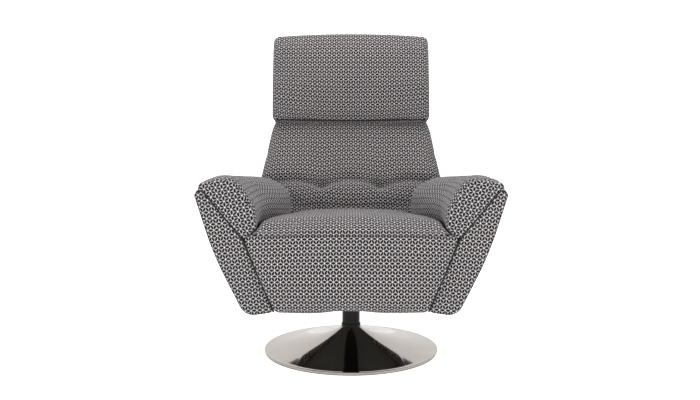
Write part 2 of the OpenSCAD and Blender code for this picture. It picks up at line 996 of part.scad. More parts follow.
module pivot_bracket() {
    foot_y1 = pivot_y - 3.4 * pin_eye_r;
    color(steel)
    plate_x(bracket_x, bracket_t)
        difference() {
            union() {
                translate(pivot) circle(pin_eye_r);
                polygon([
                    [foot_y1, deck_h - rail_h],
                    [rail_back_y, deck_h - rail_h],
                    [rail_back_y, deck_h],
                    [pivot_y + pin_eye_r, pivot_z],
                    [pivot_y - pin_eye_r, pivot_z],
                    [foot_y1, deck_h]
                ]);
            }
            translate(pivot) circle(pin_r + fixed_gap);
        }
}

module right_pivot_bracket() { pivot_bracket(); }
module left_pivot_bracket() { mirrored() pivot_bracket(); }

module footrest_bracket() {
    foot_y1 = rail_front_y + 3 * pin_eye_r;
    eye_r = flap_eye_r;
    color(steel)
    plate_x(bracket_x, bracket_t)
        difference() {
            union() {
                translate(flap_hinge) circle(eye_r);
                strap(flap_hinge, [rail_front_y + eye_r, deck_h + rail_h / 2], eye_r);
                polygon([
                    [rail_front_y, deck_h - rail_h],
                    [foot_y1, deck_h - rail_h],
                    [foot_y1, deck_h],
                    [rail_front_y + 2 * eye_r, deck_h + rail_h / 2],
                    [rail_front_y, deck_h + rail_h / 2]
                ]);
            }
            translate(flap_hinge) circle(link_pin_r + fixed_gap);
        }
}

module right_footrest_bracket() { footrest_bracket(); }
module left_footrest_bracket() { mirrored() footrest_bracket(); }

// A shouldered pin through the bracket and the moving plate beside it
module bracket_pin(p, r) {
    union() {
        pin_x(bracket_x, bar_x - bracket_x - run_gap + fit_gap, p, r);
        pin_x(bracket_x - pin_head_t, pin_head_t, p, r + head_over);
        pin_x(bar_x - run_gap + fit_gap, pin_head_t, p, r + head_over);
    }
}

module recline_pins() {
    color(steel)
    union() {
        bracket_pin(pivot, pin_r);
        mirrored() bracket_pin(pivot, pin_r);
    }
}

module footrest_pins() {
    color(steel)
    union() {
        bracket_pin(flap_hinge, link_pin_r);
        mirrored() bracket_pin(flap_hinge, link_pin_r);
    }
}

// Back

module on_back() {
    translate([0, pivot_y, pivot_z]) rotate([-lean, 0, 0]) children();
}

module back_board() {
    color(plywood)
    on_back()
        difference() {
            translate([-board_half, -board_front_t, board_low])
                cube([2 * board_half, board_front_t + board_back_t, back_board_top - board_low]);
            for (sx = [-1, 1])
                translate([sx * board_half / 2, -board_front_t - overrun, back_len / 2])
                    rotate([-90, 0, 0])
                        cylinder(h = board_front_t + board_back_t + 2 * overrun, r = board_half / 5);
        }
}

function back_half_at(s) =
    s > back_widest
        ? lerp(back_half, back_half_top, clamp01((s - back_widest) / (back_len - back_widest)))
        : lerp(back_half_low, back_half, smooth((s - back_low) / (back_widest - back_low)));
function round_top(s) = s > back_len
    ? sqrt(max(0, pow(back_top_r, 2) - pow(s - back_len, 2)))
    : back_top_r;
function crease_s(x) = tuft_s + crease_rise * (1 - bell((abs(x) - tuft_x) / crease_run));
function back_relief(x, s) =
    lumbar_depth * (bell((s - lumbar_s) / lumbar_run) * bell(x / lumbar_half) - lumbar_rest_share)
    + back_crown * (1 - pow(x / back_half, 2))
    - crease_depth * bell((s - crease_s(x)) / crease_w)
    - tuft_depth * bell(norm([abs(x) - tuft_x, s - tuft_s]) / tuft_r)
    - valley_depth * bell((abs(x) - tuft_x) / valley_w) * smooth((s - tuft_s) / valley_run);
function low_cap(s) =
    s < front_cap_low + front_cap_run
        ? lerp(
            sqrt(pow(clear_r, 2) - pow(s, 2)),
            front_cap,
            clamp01((s - front_cap_low) / front_cap_run)
        )
        : front_cap;
function back_face(x, s) =
    s < back_len
        ? min(back_front_t + back_relief(x, s), low_cap(s))
        : back_mid_drop(s) + back_relief(x, back_len) * round_top(s) / back_top_r;
function back_mid_drop(s) = -back_mid_t + round_top(s) * (back_front_t + back_mid_t) / back_top_r;

back_cuts = [24, 36, 52, 70, 88, 104, 116, 126, 134, 142, 152, 164, 185, 220, 265, 310, 345];

module backrest_cushion() {
    stations = concat(
        [back_low],
        back_cuts,
        [for (a = [22, 40, 54, 64]) back_len + back_top_r * sin(a)]
    );
    color(cloth)
    on_back()
        difference() {
            loft([
                for (s = stations)
                    let (
                        draw = max(0, back_low + back_low_r - s),
                        half = back_half_at(s) - draw - (s > back_len ? (s - back_len) / 4 : 0),
                        near = -back_face(0, s) + draw,
                        far = min(board_back_t, back_mid_t + round_top(s)),
                        r = min(back_side_r, (far - near) * 0.45)
                    )
                    ring_at_z(
                        [
                            for (p = ring(
                                [[-half, near], [half, near], [half, far], [-half, far]],
                                [r, r, r, r],
                                [face_steps + 2, 1, 1, 1]
                            ))
                                [
                                    p[0],
                                    p[1] + (back_face(0, s) - back_face(p[0], s))
                                        * pow(clamp01((far - p[1]) / (far - near)), 2)
                                ]
                        ],
                        s
                    )
            ]);
            translate([-board_pocket_half, -board_front_t - layer_gap, -overrun])
                cube([
                    2 * board_pocket_half,
                    board_front_t + board_back_t + layer_gap + overrun,
                    back_board_top + layer_gap + overrun
                ]);
            for (sx = [-1, 1])
                translate([
                    sx * (head_arm_x + head_arm_t) - 1.5 * head_arm_t - run_gap,
                    back_mid_t - back_top_r * sin(lean + head_forward) - head_arm_w / 2 - run_gap,
                    back_len - head_arm_w * 1.6
                ])
                    cube([3 * head_arm_t + 2 * run_gap, back_t, back_t]);
        }
}

module back_cover() {
    top_s = back_len + back_top_r * 0.8;
    color(cloth)
    on_back()
        loft([
            for (e = concat(
                [for (s = end_steps(cover_edge_r)) [cover_low + s[0], s[1]]],
                [for (share = [0.29, 0.48, 0.64, 0.81]) [back_len * share, 0]],
                [for (a = [0, 18, 34, 48]) [back_len + back_top_r * sin(a), 0]]
            ))
                let (
                    s = min(e[0], top_s),
                    half = back_half_at(s) - e[1] - (s > back_len ? (s - back_len) / 4 : 0),
                    near = board_back_t + cover_gap,
                    far = max(near + edge_r, back_mid_t + round_top(s) - e[1])
                )
                ring_at_z(
                    ring(
                        [[-half, near], [half, near], [half, far], [-half, far]],
                        [cover_gap, cover_gap, cover_edge_r, cover_edge_r],
                        [1, 1, face_steps / 3, 1]
                    ),
                    s
                )
        ]);
}

module back_arm() {
    color(steel)
    on_back()
        plate_x(arm_plate_x, plate_t)
            difference() {
                union() {
                    circle(pin_eye_r);
                    translate([-board_front_t, 0])
                        square([board_front_t + board_back_t, back_arm_len]);
                    rotate(lean)
                        strap([0, 0], link_back - pivot, link_eye_r);
                }
                circle(pin_r + bore_gap);
                rotate(lean)
                    translate(link_back - pivot) circle(link_pin_r + fixed_gap);
            }
}

module right_back_arm() { back_arm(); }
module left_back_arm() { mirrored() back_arm(); }

// A pin riveted in a moving plate, with the push bar's end on it
module link_pin(p) {
    union() {
        pin_x(arm_plate_x, bar_x + plate_t + fit_gap - arm_plate_x, p, link_pin_r);
        pin_x(bar_x + plate_t + fit_gap, pin_head_t, p, link_pin_r + head_over);
    }
}

module back_link_pins() {
    color(steel)
    union() {
        link_pin(link_back);
        mirrored() link_pin(link_back);
    }
}

// Headrest hinge

head_pin_r = 4;

module headrest_brackets() {
    color(steel)
    on_back()
        for (sx = [-1, 1])
            translate([sx == 1 ? 0 : -2 * head_arm_x - head_arm_t, 0, 0])
                plate_x(head_arm_x, head_arm_t)
                    difference() {
                        union() {
                            translate([back_mid_t, back_len]) circle(head_arm_w / 2);
                            polygon([
                                [back_mid_t - head_arm_w / 2, back_len],
                                [-board_front_t - layer_gap / 2, back_len - head_arm_w * 1.5],
                                [-board_front_t - layer_gap / 2, back_len + head_arm_w / 2],
                                [back_mid_t, back_len + head_arm_w / 2]
                            ]);
                        }
                        translate([back_mid_t, back_len]) circle(head_pin_r + fixed_gap);
                    }
}

module head_pin(x) {
    pin_x(x - head_arm_t, 2 * head_arm_t + 2 * run_gap + fit_gap, head_axis, head_pin_r);
    pin_x(x - head_arm_t - pin_head_t, pin_head_t, head_axis, head_pin_r + head_over);
}

module headrest_pins() {
    color(steel)
    union() {
        head_pin(head_arm_x + head_arm_t);
        mirrored() head_pin(head_arm_x + head_arm_t);
    }
}

head_front_y = head_axis[0] - head_t * 0.72;
head_back_y = head_axis[0] + head_t * 0.32;
head_board_y = head_axis[0] - head_board_t / 2;

function head_outline(x) =
    let (
        out = pow(x / (head_w / 2), 2),
        bulge = head_crown * (1 - out),
        smile = head_smile * out,
        top = head_top_z - head_fall * out,
        lip = head_lip - head_lip_turn * out
    )
    concat(
        [
            for (k = [0 : head_lip_steps])
                polar(head_axis, head_bore_r, lerp(lip, head_back_lip, k / head_lip_steps))
        ],
        [
            [head_back_y + head_t * 0.26, head_axis[1] + head_t * 0.46],
            [head_back_y + head_t * 0.14, head_axis[1] + head_t * 1.5],
            [head_back_y - head_t * 0.12, top - head_t * 0.3],
            [head_back_y - head_t * 0.35, top],
            [head_front_y + head_t * 0.36, top],
            [head_front_y + head_t * 0.16 - bulge * 0.6, top - head_t * 0.3],
            [head_front_y - bulge, head_axis[1] + head_t * 1.7],
            [head_front_y + head_t * 0.02 - bulge, head_axis[1] + head_t * 0.9],
            [head_front_y + head_t * 0.05 - bulge * 0.7, head_axis[1] + head_t * 0.34 + smile]
        ]
    );
head_radii = concat([6, 6, 6, 6, 6, 6, 6, 6, 4], [10, 60, 20, 12, 14, 24, 80, 60, 10]);
head_cuts = [for (i = [0 : 17]) i > 8 && i < 17 ? 2 : 1];
head_half = [head_t * 0.56, (head_top_z - head_axis[1]) / 2];
head_end_r = 18;

module headrest_cushion() {
    steps = end_steps(head_end_r);
    body = [for (k = [-5 : 5]) k / 5 * (head_w / 2 - head_end_r)];
    stations = concat(
        [for (s = steps) [-head_w / 2 + s[0], s[1]]],
        [for (k = [1 : 9]) [body[k], 0]],
        [for (i = [end_steps_n : -1 : 0]) [head_w / 2 - steps[i][0], steps[i][1]]]
    );
    slot_half = head_arm_x + 2 * head_arm_t + 2 * run_gap + head_slot_gap;
    color(cloth)
    difference() {
        loft([
            for (e = stations)
                let (outline = head_outline(e[0]))
                    ring_at_x(
                        ring(
                            drawn_in(outline, middle_of(outline), head_half, e[1]),
                            head_radii,
                            head_cuts,
                            2
                        ),
                        e[0]
                    )
        ]);
        translate([
            -head_board_half - fit_gap,
            head_board_y - fit_gap,
            head_axis[1]
        ])
            cube([
                2 * (head_board_half + fit_gap),
                head_board_t + 2 * fit_gap,
                head_top_z - head_t / 2 - head_axis[1]
            ]);
        for (sx = [-1, 1])
            translate([
                sx * slot_half - (sx == 1 ? 3 * head_arm_t : 0) - (sx == 1 ? run_gap : 0),
                head_axis[0] - head_arm_w / 2 - run_gap,
                head_axis[1]
            ])
                cube([3 * head_arm_t + run_gap, head_arm_w + 2 * run_gap, head_bore_r + head_arm_w * 2]);
    }
}

head_board_low = head_axis[1] + head_bore_r + head_board_t / 2;

module headrest_board() {
    color(plywood)
    translate([-head_board_half, head_board_y, head_board_low])
        cube([
            2 * head_board_half,
            head_board_t,
            head_top_z - head_t / 2 - fit_gap - head_board_low
        ]);
}

module head_arm() {
    plate_x(head_arm_x + head_arm_t + run_gap, head_arm_t)
        difference() {
            strap(head_axis, [head_axis[0], head_board_low - head_arm_w / 2], head_arm_w / 2);
            translate(head_axis) circle(head_pin_r + bore_gap);
        }
}

module headrest_arms() {
    color(steel)
    union() {
        head_arm();
        mirrored() head_arm();
    }
}

// Footrest flap

function flap_half(z) = min(
    panel_in_x(z) - soft_gap * 1.6,
    kink_x - flap_corner_in * smooth((z - flap_z + flap_corner_reach) / flap_corner_run + 1)
);
function flap_front(z) =
    z > flap_z
        ? flap_y - sqrt(max(0, pow(flap_nose, 2) - pow(z - flap_z, 2)))
        : flap_y - flap_nose - (flap_t - 2 * flap_nose) * 0.5 * flap_form(z);
function flap_form(z) = sin(180 * clamp01((flap_z - z) / (flap_z - flap_low_z)) * 0.86);
function flap_rear(z) =
    z > flap_z
        ? flap_y + sqrt(max(0, pow(flap_nose, 2) - pow(z - flap_z, 2)))
        : flap_y + flap_nose
            + (flap_t - 2 * flap_nose) * 0.4 * smooth((flap_z - z) / (flap_z - flap_bulge_z));

flap_cuts = [12, 26, 48, 76, 104, 132, 158, 178, 190];

module flap_notch() {
    for (sx = [-1, 1])
        translate([
            sx == 1 ? bracket_x - pin_head_t - run_gap : -bar_x - plate_t - pin_head_t - 2 * run_gap,
            flap_y - flap_nose + flap_notch_wall,
            link_front[1] - link_eye_r - bar_h * 1.5
        ])
            cube([
                bar_x + plate_t + 2 * pin_head_t + 3 * run_gap - bracket_x,
                flap_t + flap_nose,
                flap_nose + flap_lever + link_eye_r + bar_h * 2
            ]);
}

module footrest_pad() {
    low_steps = [for (s = end_steps(flap_end_r)) [flap_low_z + s[0], s[1]]];
    stations = concat(
        low_steps,
        [for (k = [len(flap_cuts) - 1 : -1 : 0])
            if (flap_z - flap_cuts[k] > flap_low_z + flap_end_r) [flap_z - flap_cuts[k], 0]],
        [for (a = [0, 22, 44, 62, 76]) [flap_z + flap_nose * sin(a), 0]]
    );
    color(cloth)
    difference() {
        loft([
            for (e = stations)
                let (
                    z = e[0],
                    half = flap_half(z) - e[1] * 0.6,
                    near = flap_front(z) + e[1],
                    far = flap_rear(z) - e[1] * 0.5,
                    r = min(flap_edge_r, (far - near) * 0.4)
                )
                ring_at_z(
                    [
                        for (p = ring(
                            [[-half, near], [half, near], [half, far], [-half, far]],
                            [r, r, flap_back_r, flap_back_r],
                            [face_steps / 2, 1, 1, 1]
                        ))
                            [
                                p[0],
                                p[1] - clamp01((far - p[1]) / (far - near))
                                    * flap_crown * (1 - pow(p[0] / half, 2)) * flap_form(z)
                            ]
                    ],
                    z
                )
        ]);
        flap_notch();
    }
}

// The pad's back is flat where the board lies against it
flap_back_y = flap_y + flap_nose + (flap_t - 2 * flap_nose) * 0.4;

module footrest_board() {
    inner = flap_board_low;
    outer = flap_board_top;
    color(plywood)
    translate([0, flap_back_y + fit_gap + flap_board_t, 0])
        rotate([90, 0, 0])
            linear_extrude(flap_board_t)
                polygon([
                    [-flap_half(inner) + flap_lean_in, inner],
                    [flap_half(inner) - flap_lean_in, inner],
                    [flap_half(outer) - flap_lean_in, outer],
                    [-flap_half(outer) + flap_lean_in, outer]
                ]);
}

module footrest_arm() {
    foot_low = flap_board_low + 2 * flap_board_t;
    foot_top = flap_board_top - flap_board_t;
    back_y = flap_back_y + fit_gap + flap_board_t + fixed_gap;
    color(steel)
    union() {
        plate_x(arm_plate_x, plate_t)
            difference() {
                union() {
                    strap(flap_hinge, link_front, flap_eye_r);
                    translate(link_front) circle(link_eye_r);
                    polygon([
                        link_front - [link_eye_r, 0],
                        [back_y, flap_board_top + flap_board_t / 2],
                        [back_y, foot_low],
                        [back_y + link_eye_r, foot_low],
                        [back_y + link_eye_r, foot_top],
                        link_front + [link_eye_r, 0]
                    ]);
                }
                translate(flap_hinge) circle(link_pin_r + bore_gap);
                translate(link_front) circle(link_pin_r + fixed_gap);
            }
        translate([arm_plate_x - 2 * link_eye_r, back_y, foot_low])
            cube([2 * link_eye_r + plate_t, plate_t / 2, foot_top - foot_low]);
    }
}

module right_footrest_arm() { footrest_arm(); }
module left_footrest_arm() { mirrored() footrest_arm(); }

module footrest_link_pins() {
    color(steel)
    union() {
        link_pin(link_front);
        mirrored() link_pin(link_front);
    }
}

// Push bars

module push_bar() {
    slot_r = link_pin_r + slot_side_gap;
    color(steel)
    plate_x(bar_x, plate_t)
        difference() {
            union() {
                strap(link_back, link_front, bar_h / 2);
                translate(link_back) circle(link_eye_r);
                strap(link_front, link_front - [0, slot_drop], slot_r + link_eye_wall / 2);
            }
            translate(link_back) circle(link_pin_r + bore_gap);
            strap(link_front, link_front - [0, slot_drop], slot_r);
        }
}

module right_push_bar() { push_bar(); }
module left_push_bar() { mirrored() push_bar(); }

base_floor_pad();
base_weight();
base_cover();
base_bolts();
column_tube();
column_collar();
lower_swivel_bush();
upper_swivel_bush();
thrust_washer();
swivel_spindle();
swivel_plate();
swivel_plate_bolts();
left_seat_rail();
right_seat_rail();
front_cross_tube();
rear_cross_tube();
left_arm_brackets();
right_arm_brackets();
arm_screws();
front_board();
seat_webbing();
seat_core();
seat_cushion();
underside_cover();
rear_panel();
left_arm_panel();
right_arm_panel();
left_arm_pad();
right_arm_pad();
left_pivot_bracket();
right_pivot_bracket();
left_footrest_bracket();
right_footrest_bracket();
recline_pins();
footrest_pins();
back_board();
backrest_cushion();
back_cover();
left_back_arm();
right_back_arm();
back_link_pins();
headrest_brackets();
headrest_pins();
headrest_cushion();
headrest_board();
headrest_arms();
footrest_pad();
footrest_board();
left_footrest_arm();
right_footrest_arm();
footrest_link_pins();
left_push_bar();
right_push_bar();
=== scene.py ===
"""Looks of the swivel recliner: woven upholstery with seams and tufts, polished base, plain studio."""
import json
import math

import bmesh
import bpy
import numpy as np
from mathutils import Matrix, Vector


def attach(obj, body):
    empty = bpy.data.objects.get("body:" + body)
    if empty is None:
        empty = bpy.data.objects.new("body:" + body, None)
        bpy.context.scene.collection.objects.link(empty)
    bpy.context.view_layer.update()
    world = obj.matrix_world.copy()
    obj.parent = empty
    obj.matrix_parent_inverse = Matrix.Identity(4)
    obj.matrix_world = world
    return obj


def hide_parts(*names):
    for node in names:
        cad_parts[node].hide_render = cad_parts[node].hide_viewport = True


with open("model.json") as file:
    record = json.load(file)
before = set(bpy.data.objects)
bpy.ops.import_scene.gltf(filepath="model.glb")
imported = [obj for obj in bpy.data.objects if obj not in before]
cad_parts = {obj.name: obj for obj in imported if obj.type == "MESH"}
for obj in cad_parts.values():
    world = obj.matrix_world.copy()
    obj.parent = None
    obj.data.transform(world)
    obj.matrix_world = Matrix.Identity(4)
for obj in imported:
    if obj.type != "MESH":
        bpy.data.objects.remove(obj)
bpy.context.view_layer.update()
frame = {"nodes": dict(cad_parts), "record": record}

# Forms are worked out in mm, as in the part's source, and meshes, materials and lamps are in metres

MM = 0.001
SCENE = bpy.context.scene
SCENE.view_settings.view_transform = "Standard"

# Camera: in front of the chair, a little above the arms, looking slightly down

SENSOR_MM = 36.0
PICTURE_PX = 700
FOCAL_PX = 836.9
CAMERA_PLACE = (-0.0032, -2.615, 0.7516)
CAMERA_DOWN = 5.93

camera = bpy.data.objects.new("camera", bpy.data.cameras.new("camera"))
bpy.context.collection.objects.link(camera)
camera.data.sensor_width = SENSOR_MM
camera.data.lens = FOCAL_PX / PICTURE_PX * SENSOR_MM
camera.location = CAMERA_PLACE
camera.rotation_euler = (math.radians(90 - CAMERA_DOWN), 0, 0)
camera.data.clip_end = 50
SCENE.camera = camera


# Small maths

def unit(v):
    return v / np.linalg.norm(v)


def left_of(v):
    return np.array([-v[1], v[0]])


def lerp(a, b, u):
    return a + (b - a) * u


def clamp(u):
    return np.clip(u, 0.0, 1.0)


def smooth(u):
    u = clamp(u)
    return u * u * (3 - 2 * u)


def bell(u):
    return np.exp(-np.square(u))


def polar(r, degrees):
    a = math.radians(degrees)
    return r * np.array([math.cos(a), math.sin(a)])


def turned(p, degrees):
    c, s = math.cos(math.radians(degrees)), math.sin(math.radians(degrees))
    return (p[0] * c - p[1] * s, p[0] * s + p[1] * c)


def middle(points):
    return (points.min(0) + points.max(0)) / 2


def running(points):
    """Length along a line of points, up to each of them."""
    step = np.linalg.norm(np.diff(np.array(points, float), axis=0), axis=1)
    return np.concatenate([[0.0], np.cumsum(step)])


def running_round(rings):
    """Length along each closed ring, up to each of its points and back to the first."""
    step = np.linalg.norm(np.diff(np.concatenate([rings, rings[:, :1]], 1), axis=1), axis=2)
    return np.concatenate([np.zeros((len(rings), 1)), np.cumsum(step, 1)], 1)


# Outlines: the share of an edge, and of a piece's thickness, that one corner's rounding may take

EDGE_SHARE = 0.49
ROUND_SHARE = 0.45


def corner(p, before, after, r, steps):
    """Points round a rounded corner, which takes at most about half of each edge beside it."""
    u, v = unit(before - p), unit(after - p)
    half = math.acos(max(-1.0, min(1.0, float(u @ v)))) / 2
    most = EDGE_SHARE * min(np.linalg.norm(before - p), np.linalg.norm(after - p))
    reach = min(r / math.tan(half), most)
    radius = reach * math.tan(half)
    centre = p + unit(u + v) * radius / math.sin(half)
    a, b = p + u * reach - centre, p + v * reach - centre
    start = math.atan2(a[1], a[0])
    turn = (math.atan2(b[1], b[0]) - start + 3 * math.pi) % (2 * math.pi) - math.pi
    angles = start + turn * np.linspace(0, 1, steps + 1)
    return centre + radius * np.stack([np.cos(angles), np.sin(angles)], 1)


def ring(outline, radii, cuts, steps):
    """A closed outline with rounded corners; cuts says how many parts each edge has, steps each corner."""
    pts = [np.array(p, float) for p in outline]
    n = len(pts)
    rounded = [corner(pts[i], pts[i - 1], pts[(i + 1) % n], radii[i], steps) for i in range(n)]
    out = []
    for i in range(n):
        out.extend(rounded[i])
        a, b = rounded[i][-1], rounded[(i + 1) % n][0]
        out.extend(lerp(a, b, k / cuts[i]) for k in range(1, cuts[i]))
    return np.array(out)


def box_ring(half, near, far, radii, cuts, steps):
    """A ring round a rectangle, from its near left corner over the near edge."""
    return ring([[-half, near], [half, near], [half, far], [-half, far]], radii, cuts, steps)


def edge_span(cuts, steps, edge):
    """First and last point of a ring's edge, between its corners' roundings."""
    first = (edge + 1) * steps + sum(cuts[:edge])
    return first, first + cuts[edge]


def inset(outline, d):
    pts = [np.array(p, float) for p in outline]
    n = len(pts)
    out = []
    for i in range(n):
        before, after = unit(pts[i] - pts[i - 1]), unit(pts[(i + 1) % n] - pts[i])
        a, b = left_of(before), left_of(after)
        out.append(pts[i] + (a + b) * d / (1 + a @ b))
    return out


def end_steps(r, n):
    """Round an end of radius r: distance from the end, and how far the outline is drawn in there."""
    a = np.linspace(0, math.pi / 2, n + 1)
    return [(r * (1 - math.cos(t)), r * (1 - math.sin(t))) for t in a]


# Soft pieces are shells through rings of points, with the weave's place kept in a UV map in metres

CAP_SHARES = (0.86, 0.7, 0.52, 0.34, 0.16)


def link_object(name, data):
    obj = bpy.data.objects.new(name, data)
    bpy.context.collection.objects.link(obj)
    return obj


def shell(name, rings, uv_side, uv_end, flat=(0, 0)):
    """A closed shell through rings (stations x points x 3), with ever smaller rings over its two ends.

    uv_side(station, point, run, position) and uv_end(which, position) give the weave's coordinates, and
    flat counts the rows of each rounded end that the end's own cloth reaches over."""
    rings = np.array(rings, float)
    m, n = rings.shape[:2]
    run = running_round(rings)
    verts = list(rings.reshape(-1, 3))
    ends = []
    for which in (0, m - 1):
        centre = rings[which].mean(0)
        loops = [[which * n + i for i in range(n)]]
        for share in CAP_SHARES:
            loops.append([len(verts) + i for i in range(n)])
            verts.extend(centre + (rings[which] - centre) * share)
        ends.append(loops)
    bm = bmesh.new()
    bv = [bm.verts.new(Vector(p * MM)) for p in verts]
    layer = bm.loops.layers.uv.new("weave")

    def face(ids, uvs):
        f = bm.faces.new([bv[i] for i in ids])
        f.smooth = True
        for loop, uv in zip(f.loops, uvs):
            loop[layer].uv = (uv[0] * MM, uv[1] * MM)

    for j in range(m - 1):
        for i in range(n):
            quad = [(j, i), (j, i + 1), (j + 1, i + 1), (j + 1, i)]
            if j < flat[0] or j >= m - 1 - flat[1]:
                uvs = [uv_end(0 if j < flat[0] else 1, rings[a, b % n]) for a, b in quad]
            else:
                uvs = [uv_side(a, b, run[a, b], rings[a, b % n]) for a, b in quad]
            face([a * n + b % n for a, b in quad], uvs)
    for c, loops in enumerate(ends):
        for a, b in zip(loops, loops[1:]):
            for i in range(n):
                ids = [a[i], a[(i + 1) % n], b[(i + 1) % n], b[i]]
                if c == 0:
                    ids.reverse()
                face(ids, [uv_end(c, verts[v]) for v in ids])
        inner = loops[-1] if c else loops[-1][::-1]
        for i in range((n - 1) // 2):
            ids = [inner[i], inner[i + 1], inner[n - 2 - i], inner[n - 1 - i]]
            ids = [v for k, v in enumerate(ids) if v not in ids[:k]]
            face(ids, [uv_end(c, verts[v]) for v in ids])
    bmesh.ops.recalc_face_normals(bm, faces=bm.faces[:])
    mesh = bpy.data.meshes.new(name)
    bm.to_mesh(mesh)
    bm.free()
    return link_object(name, mesh)


def wrapped(rings, first, last):
    """The weave's crosswise place on rings: cloth that lies flat over the points first to last of each
    ring, and goes on round both sides by the length along the ring."""
    rings = np.array(rings, float)
    run = running_round(rings)

    def across(j, i, s, p):
        if first <= i <= last:
            return p[0]
        a, b, total = rings[j, first, 0], rings[j, last, 0], run[j, -1]
        half = (run[j, last] - run[j, first]) / 2
        d = (s - run[j, first] - half + total / 2) % total - total / 2
        way = 1 if b > a else -1
        return b + way * (d - half) if d > 0 else a + way * (d + half)

    return across


def coords(obj):
    co = np.zeros(len(obj.data.vertices) * 3, np.float32)
    obj.data.vertices.foreach_get("co", co)
    return co.reshape(-1, 3).astype(float)


def set_coords(obj, co):
    obj.data.vertices.foreach_set("co", co.astype(np.float32).ravel())
    obj.data.update()


PUFF_FRAMES = 16


def puff(obj, held, pressure, reach, spare):
    """Fills a shell as padding fills a cover, by a cloth simulation with air pressure, and applies it.

    held marks the points that stay, reach is about the farthest that a point may move, in metres, and
    spare is the share by which the cloth is cut larger."""
    rest = coords(obj)
    group = obj.vertex_groups.new(name="held")
    group.add(np.flatnonzero(held).tolist(), 1.0, "REPLACE")
    cloth = obj.modifiers.new("cloth", "CLOTH")
    s = cloth.settings
    s.quality = 6
    s.mass = 0.25
    s.tension_stiffness = s.compression_stiffness = 25
    s.shear_stiffness = 10
    s.bending_stiffness = 1.2
    s.use_pressure = True
    s.uniform_pressure_force = pressure
    s.shrink_min = -spare
    s.vertex_group_mass = "held"
    s.effector_weights.gravity = 0
    cloth.collision_settings.use_collision = False
    cloth.point_cache.frame_start = 1
    cloth.point_cache.frame_end = PUFF_FRAMES
    for f in range(1, PUFF_FRAMES + 1):
        SCENE.frame_set(f)
    move = coords(obj.evaluated_get(bpy.context.evaluated_depsgraph_get())) - rest
    length = np.linalg.norm(move, axis=1, keepdims=True)
    tiny = 1e-9
    move *= np.where(length > tiny, reach * np.tanh(length / reach) / np.maximum(length, tiny), 0)
    obj.modifiers.remove(cloth)
    obj.vertex_groups.clear()
    SCENE.frame_set(1)
    set_coords(obj, rest + move)


def rounder(obj):
    """One level of subdivision, applied."""
    sub = obj.modifiers.new("round", "SUBSURF")
    sub.levels = sub.render_levels = 1
    sub.boundary_smooth = "PRESERVE_CORNERS"
    dg = bpy.context.evaluated_depsgraph_get()
    mesh = bpy.data.meshes.new_from_object(obj.evaluated_get(dg))
    obj.modifiers.remove(sub)
    old = obj.data
    name = old.name
    obj.data = mesh
    bpy.data.meshes.remove(old)
    mesh.name = name
    for p in mesh.polygons:
        p.use_smooth = True


def plain_object(name, verts, faces):
    mesh = bpy.data.meshes.new(name)
    mesh.from_pydata(verts, [], faces)
    mesh.validate()
    for f in mesh.polygons:
        f.use_smooth = True
    return link_object(name, mesh)


# A cord's cross-section is set out from a direction that no seam runs in

CORD_SIDES = 6
ASKEW = np.array([0.31, 0.42, 0.85])


def cord(name, points, radius, body, closed=True):
    """A thin cord that follows points, for sewn seams and for dark lines of painted shade."""
    p = np.array(points, float)
    n = len(p)
    ahead = np.roll(p, -1, 0) - np.roll(p, 1, 0)
    if not closed:
        ahead[0], ahead[-1] = p[1] - p[0], p[-1] - p[-2]
    ahead /= np.linalg.norm(ahead, axis=1, keepdims=True)
    side = np.cross(ahead, ASKEW)
    side /= np.linalg.norm(side, axis=1, keepdims=True)
    other = np.cross(ahead, side)
    turn = np.linspace(0, 2 * math.pi, CORD_SIDES, endpoint=False)[None, :, None]
    out = np.cos(turn) * side[:, None] + np.sin(turn) * other[:, None]
    verts = ((p[:, None] + radius * out).reshape(-1, 3) * MM).tolist()
    faces = []
    for i in range(n if closed else n - 1):
        here, there = i * CORD_SIDES, (i + 1) % n * CORD_SIDES
        for k in range(CORD_SIDES):
            after = (k + 1) % CORD_SIDES
            faces.append((here + k, here + after, there + after, there + k))
    if not closed:
        faces += [tuple(range(CORD_SIDES))[::-1], tuple(range((n - 1) * CORD_SIDES, n * CORD_SIDES))]
    obj = plain_object(name, verts, faces)
    obj.data.materials.append(SEAM_AND_SHADE_LINE)
    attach(obj, body)


# Materials

